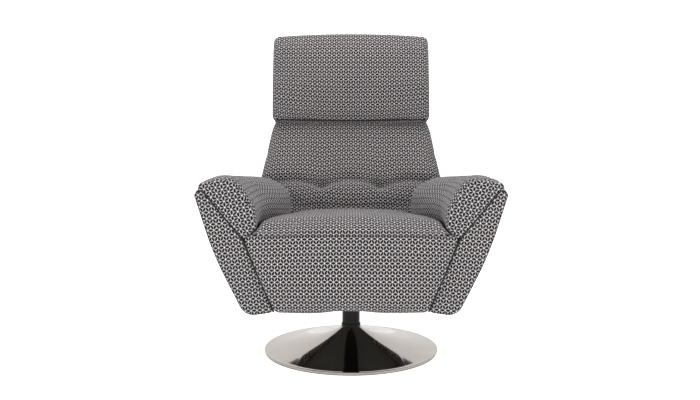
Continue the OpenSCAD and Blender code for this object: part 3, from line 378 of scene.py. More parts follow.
class Nodes:
    """A short way to write the shader of a material or of the world."""

    def __init__(self, owner, output="ShaderNodeOutputMaterial"):
        owner.use_nodes = True
        self.owner = owner
        self.tree = owner.node_tree
        self.tree.nodes.clear()
        self.out = self.tree.nodes.new(output)

    def link(self, a, b):
        if isinstance(a, (int, float, tuple)):
            b.default_value = a
        else:
            self.tree.links.new(a, b)

    def node(self, kind, **inputs):
        n = self.tree.nodes.new(kind)
        for key, value in inputs.items():
            self.link(value, n.inputs[key.replace("_", " ")])
        return n

    def surface(self, shader):
        self.link(shader.outputs[0], self.out.inputs["Surface"])
        return self.owner

    def math(self, op, a, b=None, c=None):
        n = self.tree.nodes.new("ShaderNodeMath")
        n.operation = op
        for i, v in enumerate((a, b, c)):
            if v is not None:
                self.link(v, n.inputs[i])
        return n.outputs[0]

    def step(self, value, low, high):
        n = self.tree.nodes.new("ShaderNodeMapRange")
        n.interpolation_type = "SMOOTHSTEP"
        self.link(value, n.inputs["Value"])
        n.inputs["From Min"].default_value = low
        n.inputs["From Max"].default_value = high
        return n.outputs["Result"]

    def mix(self, fac, a, b):
        n = self.tree.nodes.new("ShaderNodeMix")
        n.data_type = "RGBA"
        self.link(fac, n.inputs["Factor"])
        self.link(a, n.inputs[6])
        self.link(b, n.inputs[7])
        return n.outputs[2]

    def noise(self, vector, scale, detail=2.0, rough=0.5):
        n = self.tree.nodes.new("ShaderNodeTexNoise")
        self.link(vector, n.inputs["Vector"])
        n.inputs["Scale"].default_value = scale
        n.inputs["Detail"].default_value = detail
        n.inputs["Roughness"].default_value = rough
        return n.outputs["Fac"]


def darker(colour, share):
    return tuple(c * share for c in colour[:3]) + (1,)


# The weave: steps along a row and between rows, half widths of the petals, how deep the white outline
# reaches into them, and the size of a star where petals meet

ROW_STEP = 0.0160
ROW_RISE = 0.0166
FLAT_PETAL = 0.0046
SLANT_PETAL = 0.0041
OUTLINE = 0.0010
OUTLINE_BLUR = 0.0003
STAR_IN, STAR_OUT = 0.0012, 0.0032
BLACK = (0.012, 0.011, 0.0115, 1)
WORN_BLACK = (0.035, 0.033, 0.034, 1)
WHITE = (0.66, 0.63, 0.64, 1)
WARM_WHITE = (0.52, 0.47, 0.47, 1)
STAR = (0.93, 0.91, 0.91, 1)
GREY = (0.24, 0.225, 0.23, 1)


def woven():
    """Black and white jacquard: petals along the edges of a lattice of triangles, stars where they meet."""
    k = Nodes(bpy.data.materials.new("woven_fabric"))
    uv = k.node("ShaderNodeUVMap")
    uv.uv_map = "weave"
    place = uv.outputs["UV"]
    drift = k.math("SUBTRACT", k.noise(place, 9.0, 1.0), 0.5)
    sep = k.node("ShaderNodeSeparateXYZ", Vector=place)
    u = k.math("MULTIPLY_ADD", drift, 0.004, sep.outputs["X"])
    v = k.math("MULTIPLY_ADD", drift, -0.003, sep.outputs["Y"])
    level, up, down = (ROW_STEP, 0.0), (ROW_STEP / 2, ROW_RISE), (-ROW_STEP / 2, ROW_RISE)
    petals, star = None, None
    for e, f in ((level, up), (up, level), (down, level)):
        cross = e[0] * f[1] - e[1] * f[0]
        length = math.hypot(*e)
        s = k.math("ADD", k.math("MULTIPLY", u, f[1] / cross), k.math("MULTIPLY", v, -f[0] / cross))
        t = k.math("ADD", k.math("MULTIPLY", u, -e[1] / cross), k.math("MULTIPLY", v, e[0] / cross))
        off = k.math("SUBTRACT", t, k.math("ROUND", t))
        along = k.math("MULTIPLY_ADD", off, (e[0] * f[0] + e[1] * f[1]) / length ** 2, s)
        along = k.math("SUBTRACT", k.math("FRACT", along), 0.5)
        aside = k.math("MULTIPLY", k.math("ABSOLUTE", off), abs(cross) / length)
        curve = k.math("COSINE", k.math("MULTIPLY", along, math.pi))
        wide = k.math("MULTIPLY", curve, FLAT_PETAL if e is level else SLANT_PETAL)
        petal = k.math("SUBTRACT", wide, aside)
        petals = petal if petals is None else k.math("MAXIMUM", petals, petal)
        if e is level:
            beside = k.math("SUBTRACT", 0.5, k.math("ABSOLUTE", along))
            star = k.math("MULTIPLY_ADD", beside, length, aside)
    yarn = k.noise(place, 900.0, 3.0, 0.6)
    patch = k.noise(place, 6.0, 2.0)
    black = k.step(petals, OUTLINE - OUTLINE_BLUR, OUTLINE + OUTLINE_BLUR)
    white = k.step(petals, -0.0008, 0.0004)
    pale = k.mix(k.step(yarn, 0.3, 0.7), WHITE, darker(WHITE, 0.8))
    pale = k.mix(k.step(star, STAR_OUT, STAR_IN), pale, STAR)
    pale = k.mix(k.math("MULTIPLY", k.step(patch, 0.35, 0.75), 0.15), pale, WARM_WHITE)
    ground = k.mix(k.step(yarn, 0.35, 0.65), GREY, darker(GREY, 0.6))
    dark = k.mix(k.step(yarn, 0.4, 0.75), BLACK, WORN_BLACK)
    colour = k.mix(black, k.mix(white, ground, pale), dark)
    height = k.math("ADD", k.math("MULTIPLY", black, -0.6), k.math("MULTIPLY", yarn, 0.8))
    bump = k.node("ShaderNodeBump", Height=height, Strength=0.5, Distance=0.0006)
    return k.surface(k.node("ShaderNodeBsdfPrincipled", Base_Color=colour, Normal=bump.outputs["Normal"],
                            Roughness=0.88, Specular_IOR_Level=0.15, Sheen_Weight=0.18,
                            Sheen_Roughness=0.45))


def metal(name, colour, rough, streak, metallic=1.0, specular=0.5):
    """Metal or paint with faint turning marks and a few rubbed patches in its roughness."""
    k = Nodes(bpy.data.materials.new(name))
    place = k.node("ShaderNodeTexCoord").outputs["Object"]
    sep = k.node("ShaderNodeSeparateXYZ", Vector=place)
    radius = k.math("SQRT", k.math("ADD", k.math("MULTIPLY", sep.outputs["X"], sep.outputs["X"]),
                                   k.math("MULTIPLY", sep.outputs["Y"], sep.outputs["Y"])))
    at = k.node("ShaderNodeCombineXYZ", X=radius, Y=sep.outputs["Z"])
    marks = k.noise(at.outputs["Vector"], 420.0, 2.0)
    rubbed = k.noise(place, 14.0, 4.0)
    r = k.math("MULTIPLY_ADD", k.math("SUBTRACT", marks, 0.5), streak, rough)
    r = k.math("MULTIPLY_ADD", k.math("SUBTRACT", rubbed, 0.5), rough * 0.6, r)
    shade = k.mix(k.step(rubbed, 0.35, 0.7), colour, darker(colour, 0.93))
    return k.surface(k.node("ShaderNodeBsdfPrincipled", Base_Color=shade, Roughness=r, Metallic=metallic,
                            Specular_IOR_Level=specular))


def dull(name, colour, other, scale, rough, bump):
    """Plastic, rubber or plain cloth with a mottled colour and a fine grain."""
    k = Nodes(bpy.data.materials.new(name))
    grain = k.noise(k.node("ShaderNodeTexCoord").outputs["Object"], scale, 5.0, 0.6)
    shade = k.mix(k.step(grain, 0.3, 0.7), colour, other)
    normal = k.node("ShaderNodeBump", Height=grain, Strength=bump, Distance=0.0008)
    return k.surface(k.node("ShaderNodeBsdfPrincipled", Base_Color=shade, Roughness=rough,
                            Normal=normal.outputs["Normal"]))


def plywood(name):
    k = Nodes(bpy.data.materials.new(name))
    place = k.node("ShaderNodeTexCoord").outputs["Object"]
    stretch = k.node("ShaderNodeMapping", Vector=place, Scale=(6, 40, 40))
    grain = k.noise(stretch.outputs["Vector"], 3.0, 5.0, 0.65)
    shade = k.mix(k.step(grain, 0.3, 0.72), (0.52, 0.36, 0.2, 1), (0.33, 0.2, 0.1, 1))
    return k.surface(k.node("ShaderNodeBsdfPrincipled", Base_Color=shade, Roughness=0.6))


# Name, colour, second colour, fineness of the grain, roughness, strength of the bump

DULL = (
    ("cast_weight", (0.05, 0.05, 0.05, 1), (0.09, 0.085, 0.08, 1), 90.0, 0.7, 0.5),
    ("floor_pad", (0.02, 0.02, 0.02, 1), (0.035, 0.035, 0.035, 1), 160.0, 0.9, 0.3),
    ("bush_plastic", (0.75, 0.72, 0.62, 1), (0.66, 0.63, 0.55, 1), 60.0, 0.5, 0.1),
    ("webbing", (0.02, 0.02, 0.02, 1), (0.05, 0.05, 0.05, 1), 700.0, 0.95, 0.5),
    ("foam", (0.72, 0.66, 0.42, 1), (0.62, 0.56, 0.34, 1), 260.0, 0.95, 0.6),
    ("dust_cover", (0.05, 0.05, 0.047, 1), (0.09, 0.09, 0.085, 1), 600.0, 0.95, 0.4),
)
FABRIC = woven()
# Dark thread for the seams. The same material on the groove and lip cords is painted shade
SEAM_AND_SHADE_LINE = dull("seam_and_painted_shade_thread", (0.012, 0.011, 0.011, 1), (0.03, 0.028, 0.028, 1), 500.0, 0.9, 0.3)
POLISHED = metal("polished_steel", (0.60, 0.55, 0.515, 1), 0.06, 0.03)
MATERIALS = {row[0]: dull(*row) for row in DULL}
MATERIALS["woven_fabric"] = FABRIC
MATERIALS["polished_steel"] = POLISHED
MATERIALS["black_gloss"] = metal("black_gloss", (0.008, 0.0075, 0.0075, 1), 0.2, 0.03, 0.0, 0.2)
MATERIALS["mechanism_steel"] = metal("mechanism_steel", (0.55, 0.55, 0.55, 1), 0.34, 0.1)
MATERIALS["plywood"] = plywood("plywood")
for row in frame["record"]["subparts"]:
    node = frame["nodes"][row["node"]]
    node.data.materials.clear()
    node.data.materials.append(MATERIALS[row["material_slot"]])


def dress(obj, body, nodes):
    """Fabric, slot, body and the CAD solids that the piece stands for."""
    obj.data.materials.clear()
    obj.data.materials.append(FABRIC)
    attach(obj, body)
    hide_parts(*nodes)


# Sizes that several forms share, the same as in the part's source

ARM_FRONT, ARM_BACK, ARM_FALL = -352.0, 225.0, 12.0
ARM_OUT = np.array([431.0, 538.0])
BEVEL = np.array([406.0, 542.0])
KINK = np.array([295.0, 405.0])
PANEL_FOOT = np.array([211.0, 205.0])
PANEL_LEAN, FOOT_Z = 34.0, 200.0
TOE_START, TOE_RUN = 92.0, 300.0
PIVOT = np.array([150.0, 360.0])
LEAN = math.radians(30)
BACK_LEN, BACK_REAR, BACK_FRONT = 345.0, 30.0, 95.0
BACK_MID = (BACK_REAR - BACK_FRONT) / 2
TOP_R = BACK_REAR - BACK_MID
HEAD_AXIS = np.array([
    PIVOT[0] + BACK_LEN * math.sin(LEAN) + BACK_MID * math.cos(LEAN),
    PIVOT[1] + BACK_LEN * math.cos(LEAN) - BACK_MID * math.sin(LEAN),
])


def toe(y):
    """From 0 near the arms' front to 1 where seat and pads have their width at the back."""
    return smooth((y - (ARM_FRONT + TOE_START)) / TOE_RUN)


def on_bevel(x):
    return [x, KINK[1] + (x - KINK[0]) * (BEVEL[1] - KINK[1]) / (BEVEL[0] - KINK[0])]


def panel_in(z):
    return lerp(PANEL_FOOT[0], KINK[0], (z - PANEL_FOOT[1]) / (KINK[1] - PANEL_FOOT[1]))


def panel_shift(z, share):
    return PANEL_LEAN * share * share * (z - ARM_OUT[1]) / (ARM_OUT[1] - FOOT_Z)


def arm_share(y):
    return float(clamp((y - ARM_FRONT) / (ARM_BACK - ARM_FRONT)))


def arm_fall(z, y):
    share = arm_share(y)
    return ARM_FALL * share * share * clamp((z - KINK[1]) / (BEVEL[1] - KINK[1]))


# Seat cushion

SEAT_H, SEAT_FALL, SEAT_FALL_RUN = 460.0, 19.0, 360.0
ROLL_RUN, ROLL_FALL = 62.0, 36.0
ROLL_Y = ARM_FRONT + ROLL_RUN
SEAT_HALF_FRONT, SEAT_HALF_BACK = 255.0, 186.0
SEAT_CROWN, SEAT_EDGE_R = 10.0, 15.0
SEAT_BASE, SEAT_LIP = 395.5, 420.7
CORE_FRONT = -283.0
BACK_CLEAR_R = 103.5
LIP_WIDER, LIP_RUN = 19.0, 46.0


def seat_top(y):
    fall = SEAT_FALL * clamp((y - ROLL_Y) / SEAT_FALL_RUN) ** 1.2
    return SEAT_H - fall - ROLL_FALL * (1 - math.sqrt(1 - clamp((ROLL_Y - y) / ROLL_RUN) ** 2))


def seat_low(y):
    """The underside: high over the flap's round top, level on the core, round the turning back behind."""
    if y < CORE_FRONT:
        return SEAT_LIP - 1.4 * float(smooth((-345 - y) / 5))
    under = 0
    if y > PIVOT[0] - BACK_CLEAR_R:
        under = PIVOT[1] + math.sqrt(max(0.0, BACK_CLEAR_R ** 2 - (PIVOT[0] - y) ** 2))
    return max(SEAT_BASE, under)


def make_seat():
    ys = np.concatenate([
        [-351, -350.3, -349, -346.5, -342, -335, -326, -315, -303, -292],
        np.linspace(-282.5, 30, 27),
        np.linspace(38, 68, 5),
    ])
    path = running([[y, seat_top(y)] for y in ys])
    rings = []
    for y in ys:
        low, high = seat_low(y), max(seat_top(y), seat_low(y) + 5)
        half = lerp(SEAT_HALF_FRONT, SEAT_HALF_BACK, toe(y)) - 0.6
        wide = half + LIP_WIDER * smooth((-300 - y) / LIP_RUN)
        r = min(SEAT_EDGE_R, (high - low) * ROUND_SHARE)
        outline = [[-wide, low], [wide, low], [half, high], [-half, high]]
        pts = ring(outline, [2, 2, r, r], [4, 2, 40, 2], 4)
        share = (pts[:, 1] - low) / (high - low)
        pts[:, 1] -= share * SEAT_CROWN * (pts[:, 0] / half) ** 2 * clamp((high - low) / 30)
        rings.append(np.stack([pts[:, 0], np.full(len(pts), y), pts[:, 1]], 1))

    def side(j, i, s, p):
        return (p[0], path[j] + 10) if p[2] > seat_low(ys[j]) + 1 else (p[0], -path[j])

    obj = shell("seat_cushion_cover", rings, side, lambda c, p: (p[0], p[2] - 420))
    co = coords(obj) / MM
    held = (co[:, 2] < np.array([seat_low(y) for y in co[:, 1]]) + 3) | (co[:, 1] < ARM_FRONT + 4)
    puff(obj, held, 3.0, 0.006, 0.012)
    rounder(obj)
    dress(obj, "seat_unit", ["seat_cushion"])


# Footrest pad, the front panel

FLAP_Y, FLAP_Z, FLAP_LOW, NOSE = -340.0, 405.0, 203.5, 15.0
FLAP_T, FLAP_THIN = 62.0, 28.0
FLAP_BULGE_TOP, FLAP_BULGE_Z = FLAP_Z - 15, 285.0
FLAP_CROWN = 8.0
ROWS_ARCH, ROWS_ARCH_HALF, ROWS_ARCH_RUN = 7.0, 260.0, 200.0
FLAP_CUTS, FLAP_STEPS = [44, 2, 12, 2], 4


def flap_form(z):
    return math.sin(math.pi * float(clamp((FLAP_BULGE_TOP - z) / (FLAP_BULGE_TOP - FLAP_LOW))) * 0.86)


def nose_reach(z):
    return math.sqrt(max(0.0, NOSE ** 2 - (z - FLAP_Z) ** 2))


def flap_front(z):
    if z > FLAP_Z:
        return FLAP_Y - nose_reach(z)
    return FLAP_Y - NOSE - (FLAP_T - FLAP_THIN) * 0.5 * flap_form(z)


def flap_rear(z):
    if z > FLAP_Z:
        return FLAP_Y + nose_reach(z)
    swell = float(smooth((FLAP_Z - z) / (FLAP_Z - FLAP_BULGE_Z)))
    return FLAP_Y + FLAP_THIN / 2 + (FLAP_T - FLAP_THIN) * 0.4 * swell


def make_flap():
    levels = [(FLAP_LOW + a, d) for a, d in end_steps(14, 6)]
    levels += [(z, 0) for z in np.linspace(FLAP_LOW + 24, FLAP_Z - 8, 15)]
    levels += [(FLAP_Z + NOSE * math.sin(math.radians(a)), 0) for a in (0, 15, 30, 45, 60, 75, 84)]
    rings, face = [], []
    for z, d in levels:
        half = panel_in(min(z, FLAP_Z - 6)) - 2.0 - d * 0.6
        near, far = flap_front(z) + d, flap_rear(z) - d * 0.5
        r = min(4.5, (far - near) * 0.4)
        pts = box_ring(half, near, far, [r, r, 3, 3], FLAP_CUTS, FLAP_STEPS)
        share = clamp((far - pts[:, 1]) / (far - near))
        pts[:, 1] -= share * FLAP_CROWN * (1 - (pts[:, 0] / half) ** 2) * flap_form(z)
        rings.append(np.stack([pts[:, 0], pts[:, 1], np.full(len(pts), z)], 1))
        face.append([near, z])
    path = running(face)
    across = wrapped(rings, *edge_span(FLAP_CUTS, FLAP_STEPS, 0))

    def arched(j, i, s, p):
        arch = ROWS_ARCH * (p[0] / ROWS_ARCH_HALF) ** 2 * clamp((p[2] - FLAP_LOW) / ROWS_ARCH_RUN)
        return across(j, i, s, p), path[j] - path[-1] + arch

    obj = shell("footrest_cover", rings, arched, lambda c, p: (p[0], p[1]))
    co = coords(obj) / MM
    rear = np.array([flap_rear(z) for z in co[:, 2]])
    wall = np.array([panel_in(min(z, FLAP_Z)) for z in co[:, 2]]) - 9
    held = (co[:, 1] > rear - 6) | (co[:, 2] > FLAP_Z - 12) | (np.abs(co[:, 0]) > wall)
    puff(obj, held, 3.0, 0.005, 0.01)
    rounder(obj)
    dress(obj, "footrest", ["footrest_pad"])


# Arm panels and arm pads; side is 1 at +X and -1 at -X

PANEL = [PANEL_FOOT, [294, 192], [378.5, 365], ARM_OUT, BEVEL, KINK]
PANEL_RADII, PANEL_CUTS = [12, 40, 900, 19, 9, 4], [5, 10, 10, 2, 12, 16]
SEAM_ROW, SEAM_R = 3, 1.0
# The groove cord is partly the seam between panel and pad and partly painted shade: thick and dark, it
# draws the groove's shadow
GROOVE = [np.array(p) for p in ([213.5, 206.0], [295.8, 404.0], [406.5, 542.5], [421.0, 539.5])]
GROOVE_OFF, GROOVE_R = 1.6, 2.7


def side_name(side, rest):
    return ("right_" if side > 0 else "left_") + rest


def groove_line():
    """Up the panel's inner edge, just before its front, then up the bevel and over its top, just behind."""
    foot, kink, top, end = GROOVE
    line = [(lerp(foot, kink, k / 24), -GROOVE_OFF) for k in range(24)]
    line += [(lerp(kink, top, k / 24), GROOVE_OFF) for k in range(24)]
    return line + [(lerp(top, end, k / 6), GROOVE_OFF) for k in range(7)]


def make_panel(side):
    stations = [(ARM_FRONT + a, d) for a, d in end_steps(8, 5)]
    stations += [(y, 0) for y in np.linspace(ARM_FRONT + 24, ARM_BACK - 24, 38)]
    stations += [(ARM_BACK - a, d) for a, d in end_steps(10, 5)[::-1]]
    rings = []
    for y, d in stations:
        near, far = inset(PANEL, 0.35 * d), inset(PANEL, d)
        outline = [near[0], far[1], far[2], far[3], near[4], near[5]]
        pts = ring(outline, PANEL_RADII, PANEL_CUTS, 5)
        pts[:, 1] -= arm_fall(pts[:, 1], y)
        rings.append(np.stack([pts[:, 0] * side, y + panel_shift(pts[:, 1], arm_share(y)), pts[:, 1]], 1))

    def around(j, i, s, p):
        return (stations[j][0], s * side)

    def end(c, p):
        return turned((p[0], p[2]), 5 * side if c == 0 else 0)

    panel = side_name(side, "arm_panel")
    obj = shell(panel + "_cover", rings, around, end, (3, 2))
    rounder(obj)
    cord(panel + "_front_seam", rings[SEAM_ROW], SEAM_R, "seat_unit")
    cord(panel + "_rear_seam", rings[-1 - SEAM_ROW], SEAM_R, "seat_unit")
    # A seam cord in the groove, made thick and dark so that it also paints the groove's shade
    line = [[q[0] * side, ARM_FRONT + off, q[1]] for q, off in groove_line()]
    cord(panel + "_groove_seam_and_painted_shade", line, GROOVE_R, "seat_unit", False)
    dress(obj, "seat_unit", [panel])


PAD_TOP = 575.0


def pad_x(share):
    return lerp(KINK[0], ARM_OUT[0], share)


def pad_z(share):
    return lerp(KINK[1], PAD_TOP, share)


PAD_FRONT = [on_bevel(295), on_bevel(404), [421, 541.8], [417.5, 563], [pad_x(0.6), pad_z(0.99)],
             [pad_x(0.15), pad_z(1.03)], [262, pad_z(0.5)], [258, pad_z(0.18)]]
PAD_INNER = [on_bevel(295), on_bevel(404), [419, 541.8], [416, 555], [pad_x(0.6), pad_z(0.885)],
             [pad_x(-0.2), pad_z(0.875)], [197, pad_z(0.66)], [189.5, pad_z(0.1)]]
PAD_BACK = [on_bevel(315.5), on_bevel(401), [404.5, 542], [403.5, 550], [pad_x(0.6), pad_z(0.83)],
            [pad_x(0.27), pad_z(0.79)], [313.3, pad_z(0.57)], [313, pad_z(0.26)]]
PAD_RADII, PAD_CUTS = [8, 4, 3, 19, 40, 64, 50, 20], [14, 3, 2, 4, 7, 12, 6, 4]
PAD_END_Y, PAD_EDGE_R = 213, 26
PAD_STEP_Y, PAD_STEP_RUN = 66, 18
PAD_DRAW = (88, 80)
PAD_FLAT = (4, 5)
PAD_LAST_STEP = 8


def pad_outline(y):
    """Front outline turning into the one beside the seat, and by a short step into that beside the back."""
    u = float(toe(y))
    beside = [lerp(np.array(p, float), np.array(q, float), u) for p, q in zip(PAD_FRONT, PAD_INNER)]
    step = float(smooth((y - PAD_STEP_Y + PAD_STEP_RUN / 2) / PAD_STEP_RUN))
    return [lerp(p, np.array(q, float), step) for p, q in zip(beside, PAD_BACK)]


def make_pad(side):
    edge = PAD_EDGE_R
    stations = [(ARM_FRONT + a, d) for a, d in end_steps(edge, 8)]
    stations += [(y, 0) for y in np.linspace(ARM_FRONT + edge + 10, 48, 30)]
    stations += [(y, 0) for y in np.linspace(55, 77, 6)]
    stations += [(y, 0) for y in np.linspace(88, PAD_END_Y - edge - 8, 7)]
    stations += [(PAD_END_Y - a, d) for a, d in end_steps(edge, 6)[::-1]]
    along = unit(BEVEL - KINK)
    square_to = left_of(along)
    centre = (KINK + BEVEL) / 2
    rings = []
    for y, d in stations:
        outline = [
            centre + along * ((p - centre) @ along) * (1 - 0.2 * d / PAD_DRAW[0])
            + square_to * ((p - centre) @ square_to) * (1 - d / PAD_DRAW[1])
            for p in inset(pad_outline(y), 0.8 + 3.5 * (d / edge) ** 3)
        ]
        pts = ring(outline, PAD_RADII, PAD_CUTS, 5)
        pts[:, 1] -= arm_fall(pts[:, 1], y)
        rings.append(np.stack([pts[:, 0] * side, np.full(len(pts), y), pts[:, 1]], 1))

    # The weave runs along each pad by the length there, and across it from its highest point
    path = np.cumsum(np.linalg.norm(np.diff(np.array(rings), axis=0), axis=2), 0)
    path = np.concatenate([np.zeros((1, path.shape[1])), path])
    run = np.cumsum(np.linalg.norm(np.diff(np.array(rings), axis=1), axis=2), 1)
    run = np.concatenate([np.zeros((len(run), 1)), run, run[:, -1:] + PAD_LAST_STEP], 1)
    flat = PAD_FLAT[0]
    first = rings[flat]
    high = int(np.argmax(first[:, 2]))
    at = run[flat, high] + abs(first[high, 0])

    def around(j, i, s, p):
        k = i % len(first)
        return (path[j, k] - path[flat, k], (run[j, i] - run[j, high] + run[flat, high]) * side)

    def end(c, p):
        return turned((p[2] - first[high, 2], (at - abs(p[0])) * side), 8 * side)

    pad = side_name(side, "arm_pad")
    obj = shell(pad + "_cover", rings, around, end, PAD_FLAT)
    co = coords(obj) / MM
    held = co[:, 2] < on_bevel(np.abs(co[:, 0]))[1] + 6
    puff(obj, held, 2.5, 0.006, 0.01)
    rounder(obj)
    dress(obj, "seat_unit", [pad])


# Back: s runs up along it from the recline axis, and t square to it, towards the rear

BACK_LOW, BACK_WIDEST = 20.0, 165.0
BACK_HALF_LOW, BACK_HALF, BACK_HALF_TOP = 255.0, 299.0, 272.0
FACE_CAP, FACE_CLEAR_R, FACE_CAP_LOW, FACE_CAP_RUN = 130.0, 100.0, 45.0, 35.0
LUMBAR, LUMBAR_S, LUMBAR_RUN, LUMBAR_HALF, LUMBAR_REST = 15.0, 96.0, 40.0, 260.0, 0.7
BACK_CROWN, BACK_CROWN_HALF = 9.0, 295.0
TUFT_X, TUFT_S, TUFT, TUFT_R = 97.0, 129.0, 23.0, 19.0
CREASE, CREASE_W, CREASE_RISE, CREASE_RUN = 17.0, 10.0, 19.0, 55.0
VALLEY, VALLEY_W, VALLEY_RUN, VALLEY_TOP, VALLEY_FADE = 8.0, 24.0, 60.0, 330.0, 90.0
PULL, PULL_W, PULL_FADE, PULL_TURN = 13.0, 50.0, 95.0, 14.0
BACK_CUTS, BACK_STEPS = [52, 4, 10, 4], 6
BACK_START, BACK_SIDE_R, CUSHION_REAR = 31.0, 34.0, 4.0


def back_point(x, t, s):
    y = PIVOT[0] + s * math.sin(LEAN) + t * math.cos(LEAN)
    return [x, y, PIVOT[1] + s * math.cos(LEAN) - t * math.sin(LEAN)]


def back_half(s):
    if s > BACK_WIDEST:
        share = float(clamp((s - BACK_WIDEST) / (BACK_LEN - BACK_WIDEST)))
        return lerp(BACK_HALF, BACK_HALF_TOP, share)
    return lerp(BACK_HALF_LOW, BACK_HALF, float(smooth((s - BACK_LOW) / (BACK_WIDEST - BACK_LOW))))


def top_narrower(s):
    return max(0.0, s - BACK_LEN) / 5


def round_top(s):
    return math.sqrt(max(0.0, TOP_R ** 2 - (s - BACK_LEN) ** 2)) if s > BACK_LEN else TOP_R


def crease_at(x):
    return TUFT_S + CREASE_RISE * (1 - bell((np.abs(x) - TUFT_X) / CREASE_RUN))


def relief(x, s):
    """How far the face stands out: lumbar roll and crown, less crease, tufts and the valleys over them."""
    lumbar = LUMBAR * (bell((s - LUMBAR_S) / LUMBAR_RUN) * bell(x / LUMBAR_HALF) - LUMBAR_REST)
    crown = BACK_CROWN * (1 - (x / BACK_CROWN_HALF) ** 2)
    crease = CREASE * bell((s - crease_at(x)) / CREASE_W)
    tufts = TUFT * bell(np.hypot(np.abs(x) - TUFT_X, s - TUFT_S) / TUFT_R)
    valleys = VALLEY * bell((np.abs(x) - TUFT_X) / VALLEY_W) * smooth((s - TUFT_S) / VALLEY_RUN)
    return lumbar + crown - crease - tufts - valleys * smooth((VALLEY_TOP - s) / VALLEY_FADE)


def back_face(x, s):
    if s < BACK_LEN:
        cap = FACE_CAP
        if s < FACE_CAP_LOW + FACE_CAP_RUN:
            clear = math.sqrt(max(0.0, FACE_CLEAR_R ** 2 - s * s))
            cap = lerp(clear, FACE_CAP, float(clamp((s - FACE_CAP_LOW) / FACE_CAP_RUN)))
        return np.minimum(BACK_FRONT + relief(x, s), cap)
    top = round_top(s)
    return -BACK_MID + top * (BACK_FRONT + BACK_MID) / TOP_R + relief(x, BACK_LEN) * top / TOP_R


def make_back():
    levels = np.concatenate([
        [20, 22, 26, BACK_START], np.linspace(38, 340, 34),
        [BACK_LEN + TOP_R * math.sin(math.radians(a)) for a in (2, 12, 22, 32, 42, 52, 61, 68, 74)],
    ])
    rings, face = [], []
    for s in levels:
        draw = max(0.0, BACK_START - s)
        half = back_half(s) - draw - top_narrower(s)
        middle_face = float(back_face(np.array(0.0), s))
        near = -middle_face + draw
        far = min(CUSHION_REAR, BACK_MID + round_top(s))
        r = min(BACK_SIDE_R, (far - near) * ROUND_SHARE)
        pts = box_ring(half, near, far, [r, r, 5, 5], BACK_CUTS, BACK_STEPS)
        share = clamp((far - pts[:, 1]) / (far - near)) ** 2
        pts[:, 1] += (middle_face - back_face(pts[:, 0], s)) * share
        rings.append([back_point(x, t, s) for x, t in pts])
        face.append([near, s])
    path = running(face)
    across = wrapped(rings, *edge_span(BACK_CUTS, BACK_STEPS, 0))

    def drawn(j, i, s, p):
        """The weave's rows are drawn towards the tufts."""
        above = levels[j] - TUFT_S
        pull = PULL * bell((abs(p[0]) - TUFT_X) / PULL_W) * math.exp(-abs(above) / PULL_FADE)
        return across(j, i, s, p), path[j] + pull * math.tanh(above / PULL_TURN)

    obj = shell("backrest_cover", rings, drawn, lambda c, p: (p[0], p[1]))
    co = coords(obj) / MM
    x, y, z = np.abs(co[:, 0]), co[:, 1] - PIVOT[0], co[:, 2] - PIVOT[1]
    s = y * math.sin(LEAN) + z * math.cos(LEAN)
    t = y * math.cos(LEAN) - z * math.sin(LEAN)
    in_tuft = np.hypot(x - TUFT_X, s - TUFT_S) < 9
    in_crease = (np.abs(s - crease_at(x)) < 4) & (x < 215) & (t < -50)
    puff(obj, (t > -6) | (s < 60) | in_tuft | in_crease, 3.0, 0.006, 0.015)
    rounder(obj)
    dress(obj, "backrest", ["backrest_cushion"])


COVER_CUTS, COVER_STEPS = [10, 2, 30, 2], 4
COVER_NEAR = 4.6
COVER_CROWN, COVER_CROWN_FADE = 3.0, 90.0


def make_back_cover():
    stations = [(BACK_LOW + a, d) for a, d in end_steps(12, 5)]
    stations += [(s, 0) for s in np.linspace(44, BACK_LEN - 4, 24)]
    stations += [(BACK_LEN + TOP_R * math.sin(math.radians(a)), 0) for a in (4, 14, 24, 34, 43, 50)]
    rings = []
    for s, d in stations:
        half = back_half(s) - d - top_narrower(s)
        near = COVER_NEAR
        far = max(near + 2, BACK_MID + round_top(s) - d)
        pts = box_ring(half, near, far, [3, 3, 12, 12], COVER_CUTS, COVER_STEPS)
        crown = COVER_CROWN * (1 - (pts[:, 0] / half) ** 2)
        crown = crown * smooth((BACK_LEN - 10 - s) / COVER_CROWN_FADE)
        pts[:, 1] += crown * clamp((pts[:, 1] - near) / (far - near))
        rings.append([back_point(x, t, s) for x, t in pts])
    across = wrapped(rings, *edge_span(COVER_CUTS, COVER_STEPS, 2))

    def upward(j, i, s, p):
        return across(j, i, s, p), stations[j][0]

    obj = shell("back_cover_cloth", rings, upward, lambda c, p: (p[0], p[1]))
    rounder(obj)
    dress(obj, "backrest", ["back_cover"])


# Headrest: outlines from side to side. Each goes over the back's round top from front to rear, then up
# the rear, over the headrest's top and down its front to the lip

HEAD_W, HEAD_TOP, HEAD_T = 527.0, 1018.0, 105.0
HEAD_CROWN, HEAD_SMILE, HEAD_FALL = 14.0, 8.0, 10.0
HEAD_LIP, HEAD_BACK_LIP = 141.0, 28.0
HEAD_BORE_R = TOP_R + 1.5
HEAD_FRONT_Y = HEAD_AXIS[0] - HEAD_T * 0.72
HEAD_REAR_Y = HEAD_AXIS[0] + HEAD_T * 0.32
HEAD_EDGE_R = 20
HEAD_ROWS_ARCH = 15.0
BORE_POINTS = 9
HEAD_RADII = [6] * 8 + [4, 10, 60, 22, 14, 16, 28, 90, 70, 12]
HEAD_CUTS = [1] * 8 + [2, 8, 8, 2, 3, 2, 6, 8, 5, 2]
HEAD_STEPS = 3
# Radius and offset of a dark cord along the lip's lower front edge: painted shadow, the shade line under
# the headrest
LIP_SHADOW_R = 2.8
LIP_SHADOW_OFFSET = [0, 0.8, -1.6]


def off_middle(x):
    return (x / (HEAD_W / 2)) ** 2


